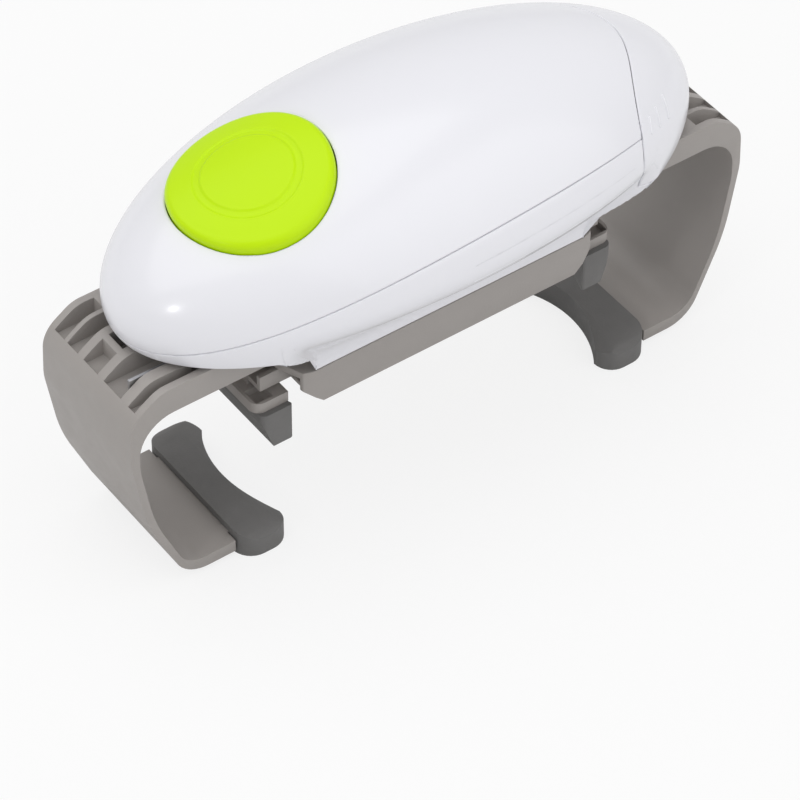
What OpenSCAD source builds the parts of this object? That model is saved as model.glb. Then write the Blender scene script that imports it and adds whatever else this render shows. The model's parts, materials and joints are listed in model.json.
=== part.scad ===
// One-touch electric jar opener, standing on its jar pads.
// X runs along the body, Y across it, Z up; the drive axis is X = Y = 0 and Z = 0 is the table.
// The deck is the plane between the white body and the grey lid carriage: heights named *_z
// below are measured from it.

/* [Stand] */
// Height of the deck above the table
deck_h = 52.5; // [50:0.5:56]

/* [Body] */
// Length of the white body
body_l = 168; // [160:1:190]
// Width of the white body
body_w = 82; // [78:1:98]
// Height of the body's top above the deck
body_top_z = 55; // [54:1:62]
// Height of the widest level above the deck
body_mid_z = 23; // [22:1:25]
// Wall of the white shells
shell_t = 2; // [1.5:0.1:2.5]
// Underside of the body's ends above the deck
rim_z = 17; // [16.5:0.1:18]
// Length of the keel, the part of the body that meets the deck
keel_l = 82; // [78:1:88]
// Width of the keel
keel_w = 42.6; // [42:0.1:46]

/* [Start button] */
// Diameter of the start button
button_d = 41.4; // [36:0.2:44]
// Distance of the button's centre from the drive axis
button_x = 45; // [44:0.5:48]
// Lean of the button towards the body's end, in degrees
button_tilt = 14; // [12:1:16]
// Travel of the button
button_travel = 2; // [1:0.1:2.5]
// How far the button stands proud of the body
button_proud = 2; // [1:0.1:2.5]

/* [Jar arms] */
// Width of the jar arms
arm_w = 39; // [36:0.5:39]
// Distance of an arm's outer face from the drive axis
arm_reach = 92.4; // [90:0.1:100]
// Distance of an arm's lip end from the drive axis
lip_x = 64; // [63:0.5:68]
// Inward travel of each arm
arm_in = 26; // [10:1:26]
// Outward travel of each arm
arm_out = 4; // [1:0.5:4]

/* [Jar pads] */
// Length of a jar pad across the jar
jar_pad_l = 46; // [42:1:52]
// Height of a jar pad
jar_pad_h = 8; // [7:0.5:10]
// Radius of a jar pad's gripping face
jar_r = 30; // [27:1:40]

/* [Lid jaws] */
// Distance of a lid pad's face from the drive axis
lid_face_x = 44.8; // [44:0.1:46]
// Length of a lid pad across the lid
lid_pad_l = 34; // [30:1:36]
// Height of a lid pad
lid_pad_h = 11.4; // [8:0.1:14]
// Width of the jaw slides
slide_w = 26.6; // [26:0.1:28]

/* [Gears] */
// Module of the arm and jaw pinions and their racks
rack_m = 1; // [1:0.1:1]
// Teeth of the arm pinion
arm_pinion_n = 16; // [16:4:16]
// Teeth of the lid pinion
lid_pinion_n = 14; // [14:2:14]
// Module of the output gear
out_m = 0.8; // [0.8:0.05:0.85]
// Teeth of the output gear
out_n = 40; // [38:1:41]
// Teeth of the pinion that drives it
out_pinion_n = 11; // [11:1:12]
// Diameter of the drive shaft
shaft_d = 8; // [6:0.5:8]
// Diameter of the gear axles
axle_d = 2; // [1.5:0.1:2.5]

/* [Power] */
// Diameter of an AA cell
cell_d = 14.5; // [14:0.1:14.6]
// Length of an AA cell
cell_l = 50.5; // [49:0.1:51]
// Diameter of the motor
motor_d = 20; // [16:0.5:21]
// Length of the motor
motor_l = 19; // [15:0.5:20]

/* [Fits] */
// Gap between pieces that move past each other
clear = 0.3; // [0.3:0.05:0.4]
// Radial clearance of a running fit
run_fit = 0.05; // [0.02:0.01:0.1]

/* [Hidden] */

$fn = 48;
white = "white";
warm_grey = [0.66, 0.64, 0.62];
rubber_grey = [0.33, 0.33, 0.33];
lime = [0.78, 0.94, 0];
steel = [0.75, 0.76, 0.78];
nylon = [0.93, 0.92, 0.86];
black = [0.1, 0.1, 0.1];

// Body
half_l = body_l / 2;
half_w = body_w / 2;
crown = body_top_z - body_mid_z;
arch_top_z = body_mid_z + 13.5; // the parting line's highest point
arch_x = 12;                    // where it is
arch_drop = 0.0019;             // drop of the parting line per mm squared
keel_from = 46;                 // azimuth where the keel's corner starts
keel_to = 53;                   // azimuth where the keel's long side starts

// Levels above the deck, from the bottom up
plate_t = 2;
arm_floor_z = 7.5;
tongue_z = 10.3;
tongue_t = 3.5;
arm_wall_z = 15.3;
base_z = 16;
gear_z = base_z + plate_t + 0.2;
out_t = 3.5;
wheel_t = 2.5;
second_z = gear_z + out_t + 0.5;
first_z = second_z + wheel_t + 0.5;
first_t = 2;
cap_z = first_z + first_t + 0.8;

// Gear train: output gear, second stage, first stage, motor pinion
second_m = 0.6;
second_n = 48;
first_pinion_n = 10;
first_m = 0.5;
first_n = 44;
motor_n = 10;
out_dist = out_m * (out_n + out_pinion_n) / 2;
second_dist = second_m * (second_n + first_pinion_n) / 2;
first_dist = first_m * (first_n + motor_n) / 2;
second_dir = 120;
first_dir = 239;
motor_dir = -32;
second_at = out_dist * [cos(second_dir), sin(second_dir)];
first_at = second_at + second_dist * [cos(first_dir), sin(first_dir)];
motor_at = first_at + first_dist * [cos(motor_dir), sin(motor_dir)];

// Cells
cell_z = rim_z + 10.7;
cell_y = cell_d / 2 + 0.35;
cell_x = 20.5;
tray_x = 17.6;
tray_w = 32;
tray_t = 1.2;

// Carriage, below the deck
carriage_h = 11.6;
carriage_wall = 2;
carriage_end = 47;
rail_z = -9;
rail_t = 1.3;
slide_z = -7.4;
slide_top_z = -2.8;
foot_z = -12.5;
foot_top_z = -9.3;
hub_d = 22;

// ---------- shared shapes ----------

module deck() {
  translate([0, 0, deck_h]) children();
}

function flat(lists) = [for (l = lists) each l];

// points of a polyline whose corners [x, y, radius] are rounded
function rounded(p, steps = 9) = flat([
  for (i = [0:len(p) - 1])
    let (
      a = p[(i + len(p) - 1) % len(p)], b = p[i], c = p[(i + 1) % len(p)],
      u = [a[0] - b[0], a[1] - b[1]] / norm([a[0] - b[0], a[1] - b[1]]),
      v = [c[0] - b[0], c[1] - b[1]] / norm([c[0] - b[0], c[1] - b[1]]),
      half = acos(max(-1, min(1, u * v))) / 2
    )
    b[2] == 0 ? [[b[0], b[1]]] : let (
      mid = (u + v) / norm(u + v),
      centre = [b[0], b[1]] + mid * b[2] / sin(half),
      from = [b[0], b[1]] + u * b[2] / tan(half) - centre,
      to = [b[0], b[1]] + v * b[2] / tan(half) - centre,
      a0 = atan2(from[1], from[0]),
      turn = atan2(from[0] * to[1] - from[1] * to[0], from * to)
    ) [for (s = [0:steps]) centre + b[2] * [cos(a0 + turn * s / steps), sin(a0 + turn * s / steps)]]
]);

// extrudes an outline drawn in X and Z along Y, centred
module across(width) {
  rotate([90, 0, 0]) translate([0, 0, -width / 2]) linear_extrude(width) children();
}

module box(x0, x1, y0, y1, z0, z1) {
  translate([x0, y0, z0]) cube([x1 - x0, y1 - y0, z1 - z0]);
}

// pan-head screw, head underside at z = 0, thread downwards
module screw(d, length, head_d, head_h) {
  color(steel) difference() {
    union() {
      translate([0, 0, -length]) cylinder(d = d, h = length, $fn = 24);
      cylinder(d = head_d, h = head_h, $fn = 32);
    }
    for (a = [0, 90])
      rotate([0, 0, a]) translate([-head_d * 0.3, -0.35, head_h * 0.4])
        cube([head_d * 0.6, 0.7, head_h]);
  }
}

// round wire wound into an open coil, 6 sides and 12 steps a turn
module coil(mean_r, wire_d, height, turns) {
  steps = 12 * turns;
  pitch = (height - wire_d) / turns;
  points = flat([for (i = [0:steps]) let (a = i * 30, z = wire_d / 2 + pitch * i / 12)
    [for (s = [0:5]) let (r = mean_r + wire_d / 2 * cos(60 * s))
      [r * cos(a), r * sin(a), z + wire_d / 2 * sin(60 * s)]]]);
  sides = flat([for (i = [0:steps - 1], s = [0:5]) let (k = (s + 1) % 6)
    [[6 * i + s, 6 * i + k, 6 * i + 6 + s], [6 * i + k, 6 * i + 6 + k, 6 * i + 6 + s]]]);
  polyhedron(points, concat(sides, [[5, 4, 3, 2, 1, 0]], [[for (s = [0:5]) 6 * steps + s]]));
}

// ---------- gears ----------

function inv(a) = tan(a) * 180 / PI - a;

// involute outline with n teeth of module m; backlash is taken off each flank at the pitch line
function gear_points(m, n, backlash) =
  let (
    r = m * n / 2, rb = r * cos(20), ra = r + m, rf = r - 1.2 * m, rs = max(rb, rf),
    slack = backlash / r * 90 / PI,
    flank = [for (k = [0:3]) let (q = rs + (ra - rs) * k / 3)
      [q, 90 / n + inv(20) - inv(acos(min(1, rb / q))) - slack]]
  )
  flat([for (i = [0:n - 1]) let (a = 360 * i / n) concat(
    [rf * [cos(a - flank[0][1] - 8 / n), sin(a - flank[0][1] - 8 / n)]],
    [for (k = [0:3]) flank[k][0] * [cos(a - flank[k][1]), sin(a - flank[k][1])]],
    [for (k = [3:-1:0]) flank[k][0] * [cos(a + flank[k][1]), sin(a + flank[k][1])]],
    [rf * [cos(a + flank[0][1] + 8 / n), sin(a + flank[0][1] + 8 / n)]]
  )]);

module gear(m, n, thick, backlash = 0.06) {
  linear_extrude(thick) polygon(gear_points(m, n, backlash));
}

// turn of a gear that puts it in mesh with one at the direction dir seen from that one
function mesh_turn(dir, turn, n, own_n) = dir + 180 + ((dir - turn) * n - 180) / own_n;

// straight rack teeth along X that point to -Y from y = 0, with a gap centred on x = 0
module rack_teeth(m, from, to, thick, backlash = 0.12) {
  pitch = PI * m;
  linear_extrude(thick) for (i = [ceil(from / pitch):floor(to / pitch) - 1]) {
    x = (i + 0.5) * pitch;
    w = pitch / 4 - backlash / 2;
    slope = tan(20) * m;
    polygon([
      [x - w - 1.25 * slope, 0.3], [x - w - 1.25 * slope, 0],
      [x - w + slope, -2.25 * m], [x + w - slope, -2.25 * m],
      [x + w + 1.25 * slope, 0], [x + w + 1.25 * slope, 0.3]
    ]);
  }
}

// ---------- the white body ----------

// azimuths of the body's rings: finer where the keel's corner turns
quarter = [8, 16, 24, 32, 40, 45, 47.5, 50, 52.5, 56, 61, 67, 73, 79, 85];
azimuths = concat([0], quarter, [90], [for (i = [len(quarter) - 1:-1:0]) 180 - quarter[i]],
  [180], [for (q = quarter) 180 + q], [270], [for (i = [len(quarter) - 1:-1:0]) 360 - quarter[i]]);
ring_n = len(azimuths);

function arch_z(x) = arch_top_z - arch_drop * pow(x - arch_x, 2);
function level_scale(z) = sqrt(max(0, 1 - pow((z - body_mid_z) / crown, 2)));

// height of the parting line at azimuth a on the surface inset by t
function parting_z(a, t, z = 30, tries = 6) = tries == 0 ? z
  : parting_z(a, t, arch_z((half_l - t) * level_scale(z) * cos(a)), tries - 1);

function smooth(x) = let (q = max(0, min(1, x))) q * q * (3 - 2 * q);
// 1 on the keel's long sides, 0 at the body's ends
function keel_share(a) = smooth((acos(abs(cos(a))) - keel_from) / (keel_to - keel_from));
function keel_point(a, t) = [
  (keel_l / 2 - t) * sign(cos(a)) * min(1, abs(cos(a)) / cos(keel_to)),
  (keel_w / 2 - t) * sign(sin(a)) * min(1, abs(sin(a)) / sin(keel_to))
];

// level at which the sides start to draw in to the keel, halfway up to the parting line
function draw_z(a, t) = (body_mid_z + parting_z(a, t)) / 2;

// point of the lower body at azimuth a and height z, inset by t
function low_point(a, z, t) =
  let (
    s = smooth(z / draw_z(a, t)),
    k = keel_share(a) * (1 - s),
    oval = level_scale(z) * [(half_l - t) * cos(a), (half_w - t) * sin(a)],
    at = oval * (1 - k) + keel_point(a, t) * k
  ) [at[0], at[1], z];

// half width of the keel's outside at x and height z
function keel_half_w(x, z) =
  let (s = smooth(z / (body_mid_z + arch_z(x)) * 2), e = level_scale(z),
    c = x / (half_l * e * s + (1 - s) * keel_l / 2 / cos(keel_to)))
  half_w * e * s * sqrt(1 - c * c) + (1 - s) * keel_w / 2;

function low_ring(share, t, gap = clear) = [for (a = azimuths) let (
    top = parting_z(a, t) - gap,
    bottom = rim_z * (1 - keel_share(a))
  ) low_point(a, top + (bottom - top) * share, t)];

function dome_ring(share, t) = [for (a = azimuths) let (
    z = parting_z(a, t),
    start = asin(max(-1, min(1, (z - body_mid_z) / (crown)))),
    up = start + (90 - start) * share
  ) [(half_l - t) * cos(up) * cos(a), (half_w - t) * cos(up) * sin(a),
     body_mid_z + (crown - t * smooth(share * 4)) * sin(up)]];

function band(i, j) = flat([for (k = [0:ring_n - 1]) let (l = (k + 1) % ring_n)
  [[i * ring_n + k, i * ring_n + l, j * ring_n + l], [i * ring_n + k, j * ring_n + l, j * ring_n + k]]]);

// closed wall whose rings run down the outside and up the inside
module ring_wall(rings) {
  polyhedron(flat(rings), flat([for (i = [0:len(rings) - 1]) band(i, (i + 1) % len(rings))]));
}

// the whole upper dome as a hollow shell
module dome() {
  shares = [0.86, 0.72, 0.57, 0.42, 0.27, 0.13, 0];
  n = len(shares);
  rings = concat([for (s = shares) dome_ring(s, 0)], [for (i = [n - 1:-1:0]) dome_ring(shares[i], shell_t)]);
  poles = [[0, 0, body_top_z], [0, 0, body_top_z - shell_t]];
  last = 2 * n - 1;
  fan_out = [for (k = [0:ring_n - 1]) [2 * n * ring_n, (k + 1) % ring_n, k]];
  fan_in = [for (k = [0:ring_n - 1])
    [2 * n * ring_n + 1, last * ring_n + k, last * ring_n + (k + 1) % ring_n]];
  polyhedron(concat(flat(rings), poles),
    concat(flat([for (i = [0:last - 1]) band(i, i + 1)]), fan_out, fan_in));
}

// the body's whole shell from the rim up, for the battery cover
module egg() {
  shares = [0.72, 0.42, 0.13];
  lows = [0.3, 0.65, 1];
  outside = concat([for (s = [0.86, 0.72, 0.57, 0.42, 0.27, 0.13, 0]) dome_ring(s, 0)],
    [for (s = lows) low_ring(s, 0, 0)]);
  inside = concat([for (s = [1, 0.65, 0.3]) low_ring(s, shell_t, 0)],
    [for (s = [0, 0.13, 0.27, 0.42, 0.57, 0.72, 0.86]) dome_ring(s, shell_t)]);
  ring_wall(concat(outside, inside));
}

// everything beyond the battery cover's seam, moved by gap along X
module beyond_seam(gap, from = 0) {
  seam = [[50, 41], [50, 32], [51.5, 28], [53.8, 23.4], [56.3, 18.2], [59.4, 13], [62.2, 6.5], [63.6, 0]];
  side = concat(seam, [for (i = [len(seam) - 2:-1:0]) [seam[i][0], -seam[i][1]]]);
  translate([gap, 0, from]) linear_extrude(body_top_z + 5 - from)
    polygon(concat([for (p = side) [p[0], p[1] * (half_w + 4) / 45]], [[half_l + 20, -half_w], [half_l + 20, half_w]]));
}

// children stand on the button's axis, z = 0 at the body's surface
module at_button() {
  z = body_mid_z + crown * sqrt(1 - pow(button_x / half_l, 2));
  translate([-button_x, 0, z]) rotate([0, -button_tilt, 0]) children();
}

// a piece of the body's crown under the button, raised by up: curved across and along the body
crown_r = 45;
crown_long_r = 141;
module crown(up) {
  translate([0, 0, -crown_long_r]) rotate([90, 0, 0]) rotate([0, 0, 75])
    rotate_extrude(angle = 30, $fn = 360) translate([crown_long_r - crown_r, 0])
      circle(r = crown_r + up, $fn = 96);
}

sleeve_end = -10.7;
button_bore = button_d + 2 * 0.35;
board_z = -20.4;
board_t = 1.6;
boss_y = 26;
shell_screw_at = [[-73, 0], [49.5, 22.5], [49.5, -22.5]];
shell_screw_d = 3;

module upper_shell() {
  color(white) deck() {
    difference() {
      dome();
      beyond_seam(0);
      at_button() translate([0, 0, -15]) cylinder(d = button_bore, h = 30);
    }
    at_button() {
      intersection() {
        difference() {
          translate([0, 0, sleeve_end]) cylinder(d = button_bore + 3.3, h = 12);
          translate([0, 0, sleeve_end - 1]) cylinder(d = button_bore, h = 14);
        }
        crown(-1.4);
      }
      for (s = [-1, 1])
        difference() {
          translate([0, s * boss_y, board_z]) cylinder(d = 5, h = -11.9 - board_z);
          translate([0, s * boss_y, board_z - 1]) cylinder(d = 2.6, h = 6);
        }
    }
    for (p = shell_screw_at)
      translate([p[0], p[1], 0]) difference() {
        translate([0, 0, rim_z + 8]) cylinder(d = 6.4, h = shell_boss_top(p) - rim_z - 8);
        translate([0, 0, rim_z + 7]) cylinder(d = shell_screw_d + 0.1, h = 10);
      }
  }
}

// the screw bosses end inside the upper shell's wall
function shell_boss_top(p) = let (q = p * (1 + 3.2 / norm(p))) body_mid_z + (crown - shell_t / 2)
  * sqrt(1 - pow(q[0] / (half_l - shell_t / 2), 2) - pow(q[1] / (half_w - shell_t / 2), 2));

ledge_at = [[-31, 1], [-31, -1], [12.5, 1], [12.5, -1]];
ledge_l = 8;
ledge_t = 3;
ledge_screw_at = [[-32, 25], [-32, -25], [13.5, 25], [13.5, -25]];

module lower_shell() {
  shares = [0, 0.15, 0.3, 0.45, 0.6, 0.75, 0.88, 1];
  n = len(shares);
  color(white) deck() difference() {
    union() {
      difference() {
        ring_wall(concat([for (s = shares) low_ring(s, 0)],
          [for (i = [n - 1:-1:0]) low_ring(shares[i], shell_t)]));
        beyond_seam(0, rim_z - clear);
      }
      // floors of the body's two ends; the cover's wall goes round the second
      translate([0, 0, rim_z]) linear_extrude(plate_t) polygon(end_floor(-1, shell_t / 2));
      translate([0, 0, rim_z]) difference() {
        linear_extrude(plate_t) polygon(end_floor(1, shell_t / 2));
        difference() {
          translate([0, 0, -rim_z]) beyond_seam(0);
          translate([0, 0, -1]) linear_extrude(plate_t + 2) intersection() {
            polygon(end_floor(1, shell_t + 3 * clear));
            square([2 * half_l, 52], center = true);
          }
        }
      }
      for (p = shell_screw_at)
        translate([p[0], p[1], rim_z + 1]) cylinder(d = 6.4, h = 6.7);
      // ledges that carry the gearbox
      for (l = ledge_at)
        let (y1 = keel_half_w(abs(l[0]) + ledge_l / 2, base_z - ledge_t) - shell_t / 2)
        box(l[0] - ledge_l / 2, l[0] + ledge_l / 2, min(22.5 * l[1], y1 * l[1]), max(22.5 * l[1], y1 * l[1]),
          base_z - ledge_t, base_z - 0.05);
      // lugs in the keel that carry the chassis plate
      for (sx = [-1, 1], sy = [-1, 1])
        box(min(sx * 22, sx * 30), max(sx * 22, sx * 30),
          min(sy * (keel_w / 2 - 6), sy * (keel_w / 2 - 1)), max(sy * (keel_w / 2 - 6), sy * (keel_w / 2 - 1)),
          chassis_z + plate_t + 0.05, arm_floor_z - 1.2);
    }
    for (p = shell_screw_at) {
      translate([p[0], p[1], rim_z - 1]) cylinder(d = shell_screw_d + 0.6, h = 10);
      translate([p[0], p[1], rim_z - 1]) cylinder(d = 6, h = 3);
    }
    for (x = tray_screw_x)
      translate([x, 0, rim_z + 0.4]) cylinder(d = 2.6, h = 6);
    for (p = ledge_screw_at)
      translate([p[0], p[1], base_z - ledge_t + 0.4]) cylinder(d = 2.6, h = 6);
    for (sx = [-1, 1], sy = [-1, 1])
      translate([sx * 26, sy * chassis_lug_y, 0]) cylinder(d = 2.1, h = 8);
  }
}

chassis_lug_y = keel_w / 2 - 4.2;
// outline of an end's floor, in the middle of the wall
function end_floor(s, t) = [for (i = [-14:14])
  let (p = low_point(4 * i, rim_z + plate_t / 2, t)) [s * p[0], p[1]]];

module shell_screws() {
  deck() for (p = shell_screw_at)
    translate([p[0], p[1], rim_z + 1.95]) mirror([0, 0, 1]) screw(shell_screw_d, 13, 5.4, 1.8);
}

module battery_cover() {
  color(white) deck() {
    intersection() {
      egg();
      beyond_seam(clear, rim_z);
    }
    // two tongues under the upper shell
    for (s = [-1, 1])
      box(56, 65, s * 7.5 - 4, s * 7.5 + 4, tongue_top(60.6, 11.5) - 1.6, tongue_top(60.6, 11.5));
    // post that carries the bridge contact
    box(bridge_x + 0.6, half_l - 5.2, -6, 6, cell_z - 5, cell_z + 5);
    box(bridge_x + 0.6, bridge_x + 2.6, -2, 2, cell_z, tongue_top(bridge_x + 2.6, 2) + 0.9);
  }
}

// inside of the upper shell at x and y
function tongue_top(x, y) = body_mid_z + (crown - shell_t) * sqrt(1 - pow(x / (half_l - shell_t), 2)
  - pow(y / (half_w - shell_t), 2)) - clear;

// ---------- start button ----------

module start_button() {
  color(lime) deck() at_button() {
    difference() {
      intersection() {
        translate([0, 0, -11.5]) cylinder(d = button_d, h = 15);
        crown(button_proud);
      }
      intersection() {
        translate([0, 0, -12]) cylinder(d = button_d - 3.6, h = 15);
        crown(-0.8);
      }
    }
    difference() {
      translate([0, 0, sleeve_end - clear - 1.4]) cylinder(d = button_bore + 2, h = 1.4);
      translate([0, 0, sleeve_end - clear - 2]) cylinder(d = button_d - 3.6, h = 4);
    }
    translate([0, 0, switch_top + button_travel + clear]) cylinder(d = 6, h = -(switch_top + button_travel + clear));
  }
}

switch_top = board_z + 4.5;

module button_spring() {
  color(steel) deck() at_button()
    translate([0, 0, board_z + 0.1]) coil(6, 0.7, -board_z - 2, 6);
}

module tact_switch() {
  color(black) deck() at_button() {
    translate([-3, -3, board_z]) cube([6, 6, 3.5]);
    translate([0, 0, board_z + 3.4]) cylinder(d = 3.2, h = switch_top - board_z - 3.4);
  }
}

module control_board() {
  color("darkgreen") deck() at_button() difference() {
    translate([-8, -29, board_z - board_t]) cube([16, 58, board_t]);
    for (s = [-1, 1])
      translate([0, s * boss_y, board_z - 3]) cylinder(d = 2.7, h = 4);
  }
}

module board_screws() {
  deck() at_button() for (s = [-1, 1])
    translate([0, s * boss_y, board_z - board_t]) mirror([0, 0, 1]) screw(2.5, 6, 4.5, 1.4);
}

// ---------- battery compartment ----------

module battery_tray() {
  inner = tray_w / 2 - 1;
  x1 = cell_x + cell_l;
  color("dimgray") deck() difference() {
    union() {
      box(tray_x, x1 - 4, -tray_w / 2, tray_w / 2, rim_z + plate_t + 0.05, rim_z + plate_t + tray_t);
      for (s = [-1, 1])
        box(tray_x, x1 - 8, min(s * inner, s * tray_w / 2), max(s * inner, s * tray_w / 2),
          rim_z + plate_t + 0.05, cell_z);
      box(tray_x, tray_x + 1, -tray_w / 2, tray_w / 2, rim_z + plate_t + 0.05, cell_z + 3);
    }
    for (x = tray_screw_x)
      translate([x, 0, rim_z]) cylinder(d = 2.6, h = 6);
  }
}

tray_screw_x = [50, 62];

module tray_screws() {
  deck() for (x = tray_screw_x)
    translate([x, 0, rim_z + plate_t + tray_t]) screw(2.5, tray_t + plate_t - 0.5, 4.4, 1.2);
}

// an AA cell with its positive end towards +X, its negative end at x = 0
module cell() {
  color("dimgray") rotate([0, 90, 0]) cylinder(d = cell_d, h = cell_l - 1.4);
  color(steel) translate([cell_l - 1.5, 0, 0]) rotate([0, 90, 0]) cylinder(d = 5.4, h = 1.5);
}

module cell_front() {
  deck() translate([cell_x, -cell_y, cell_z]) cell();
}

module cell_rear() {
  deck() translate([cell_x + cell_l, cell_y, cell_z]) mirror([1, 0, 0]) cell();
}

contact_t = 0.4;

module contact_plate(y) {
  translate([tray_x + 1.05, y - 5.5, cell_z - 5.5]) cube([contact_t, 11, 11]);
}

module negative_contact() {
  color(steel) deck() {
    contact_plate(-cell_y);
    translate([tray_x + 1.3 + contact_t - 0.3, -cell_y, cell_z]) rotate([0, 90, 0])
      coil(3, 0.5, cell_x - tray_x - 1.05 - contact_t, 2);
  }
}

module positive_contact() {
  color(steel) deck() {
    contact_plate(cell_y);
    translate([tray_x + 1.2, cell_y, cell_z]) rotate([0, 90, 0]) cylinder(d = 6, h = cell_x - tray_x - 1.3);
  }
}

bridge_x = cell_x + cell_l + clear + 1;

module bridge_contact() {
  color(steel) deck() {
    translate([bridge_x, -cell_y - 4, cell_z - 3.5]) cube([0.55, 2 * cell_y + 8, 7]);
    for (s = [-1, 1])
      translate([cell_x + cell_l + clear, s * cell_y, cell_z]) rotate([0, 90, 0]) cylinder(d = 5, h = 1.2);
  }
}

// ---------- chassis and gearbox ----------

chassis_z = 0.3;
post_at = [[12, 17], [12, -17], [-12, 17], [-12, -17]];
post_d = 4;
post_screw_at = [[12, 17], [-12, -17]];

module chassis_plate() {
  color(nylon) deck() difference() {
    union() {
      box(-keel_l / 2 + shell_t + 0.6, keel_l / 2 - shell_t - 0.6,
        -keel_w / 2 + shell_t + 0.2, keel_w / 2 - shell_t - 0.2, chassis_z, chassis_z + plate_t);
      translate([0, 0, chassis_z]) cylinder(d = 26, h = 6);
      translate([0, 0, chassis_z]) cylinder(d = 14, h = tongue_z - clear - chassis_z);
      for (p = post_at)
        translate([p[0], p[1], chassis_z]) cylinder(d = post_d, h = base_z - chassis_z - 0.05);
    }
    translate([0, 0, -1]) cylinder(d = hub_d + 2 * run_fit, h = 1 + plate_t + 1.2);
    translate([0, 0, -1]) cylinder(d = shaft_d + 2 * run_fit, h = 20);
    for (sx = [-1, 1], sy = [-1, 1])
      translate([sx * 26, sy * chassis_lug_y, -1]) {
        cylinder(d = 2.1, h = 8);
        cylinder(d = 3.9, h = 2.05 + chassis_z);
      }
    for (p = post_screw_at)
      translate([p[0], p[1], base_z - 6]) cylinder(d = 2.1, h = 8);
  }
}

module chassis_screws() {
  deck() for (sx = [-1, 1], sy = [-1, 1])
    translate([sx * 26, sy * chassis_lug_y, chassis_z + 1.05]) mirror([0, 0, 1]) screw(2, 4.4, 3.6, 1);
}

gear_posts = [[-29.5, -15], [12, -17.5], [-27, 24], [8, 26]];
gear_post_d = 5;

module gearbox_base() {
  color(nylon) deck() difference() {
    union() {
      translate([0, 0, base_z]) linear_extrude(plate_t) polygon(rounded([
        [-36, -22, 3], [17, -22, 3], [17, 28, 5], [-36, 27, 6]]));
      for (l = ledge_at)
        box(l[0] - 3.5, l[0] + 3.5, min(l[1] * 20, l[1] * 27.3), max(l[1] * 20, l[1] * 27.3), base_z, base_z + plate_t);
      translate([0, 0, tongue_z + tongue_t + clear]) cylinder(d = 13, h = base_z - tongue_z - tongue_t - clear + 0.5);
      for (p = gear_posts)
        translate([p[0], p[1], base_z]) cylinder(d = gear_post_d, h = cap_z - base_z - 0.05);
    }
    translate([0, 0, base_z - 5]) cylinder(d = shaft_d + 2 * run_fit, h = 12);
    for (p = [first_at, second_at])
      translate([p[0], p[1], base_z + 0.4]) cylinder(d = axle_d + 0.02, h = 5, $fn = 24);
    for (p = gear_posts)
      translate([p[0], p[1], cap_z - 8]) cylinder(d = 2.6, h = 12);
    for (p = ledge_screw_at)
      translate([p[0], p[1], base_z - 1]) cylinder(d = 3, h = 5);
    for (p = post_screw_at)
      translate([p[0], p[1], base_z - 1]) cylinder(d = 2.4, h = 5);
  }
}

module base_screws() {
  deck() {
    for (p = ledge_screw_at)
      translate([p[0], p[1], base_z + plate_t]) screw(2.5, plate_t + 2.4, 4.6, 1.5);
    for (p = post_screw_at)
      translate([p[0], p[1], base_z + plate_t]) screw(2, 6, 3.4, 1.2);
  }
}

module gearbox_cap() {
  color(nylon) deck() difference() {
    translate([0, 0, cap_z]) linear_extrude(plate_t) polygon(rounded([
      [-33, -19, 4], [16, -21, 4], [13, 30, 4], [-31, 28, 4]]));
    for (p = [first_at, second_at])
      translate([p[0], p[1], cap_z - 1]) cylinder(d = axle_d + 0.02, h = 1 + plate_t - 0.4, $fn = 24);
    for (p = gear_posts)
      translate([p[0], p[1], cap_z - 1]) cylinder(d = 2.8, h = 5);
    translate([motor_at[0], motor_at[1], cap_z - 1]) cylinder(d = 7, h = 5);
    for (s = [-1, 1])
      translate([motor_at[0] + s * 6.5, motor_at[1], cap_z - 1]) cylinder(d = 2.2, h = 5);
  }
}

module gearbox_screws() {
  deck() for (p = gear_posts)
    translate([p[0], p[1], cap_z + plate_t]) screw(2.5, 8, 4.6, 1.5);
}

module motor_can() {
  color(steel) deck() translate([motor_at[0], motor_at[1], cap_z + plate_t + 0.05]) difference() {
    union() {
      intersection() {
        cylinder(d = motor_d, h = motor_l - 2);
        translate([-motor_d, -motor_d * 0.385, 0]) cube([2 * motor_d, motor_d * 0.77, motor_l]);
      }
      translate([0, 0, motor_l - 3]) cylinder(d = 10, h = 3);
      mirror([0, 0, 1]) cylinder(d = 6, h = 1.4);
    }
    translate([0, 0, -3]) cylinder(d = 2 + 2 * run_fit, h = motor_l, $fn = 24);
    for (s = [-1, 1])
      translate([s * 6.5, 0, -1]) cylinder(d = 2, h = 4, $fn = 24);
  }
}

module motor_shaft() {
  color(steel) deck() translate([motor_at[0], motor_at[1], first_z - 0.6])
    cylinder(d = 2, h = motor_l + 2, $fn = 24);
}

module motor_pinion() {
  turn = mesh_turn(motor_dir, 0, first_n, motor_n);
  color("gold") deck() translate([motor_at[0], motor_at[1], first_z]) difference() {
    rotate([0, 0, turn]) gear(first_m, motor_n, first_t);
    translate([0, 0, -1]) cylinder(d = 2.02, h = 5, $fn = 24);
  }
}

module motor_screws() {
  deck() for (s = [-1, 1])
    translate([motor_at[0] + s * 6.5, motor_at[1], cap_z]) mirror([0, 0, 1]) screw(1.9, 4, 2.6, 0.5);
}

// a wheel and the pinion below it on one hub
module stage(m, n, wheel_turn, wheel_z, thick, pinion_m, pinion_n, pinion_turn, pinion_z) {
  difference() {
    union() {
      translate([0, 0, wheel_z]) rotate([0, 0, wheel_turn]) gear(m, n, thick);
      translate([0, 0, pinion_z]) rotate([0, 0, pinion_turn]) gear(pinion_m, pinion_n, wheel_z - pinion_z + 0.1);
    }
    translate([0, 0, pinion_z - 1]) cylinder(d = axle_d + 2 * run_fit, h = 20, $fn = 24);
  }
}

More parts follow.
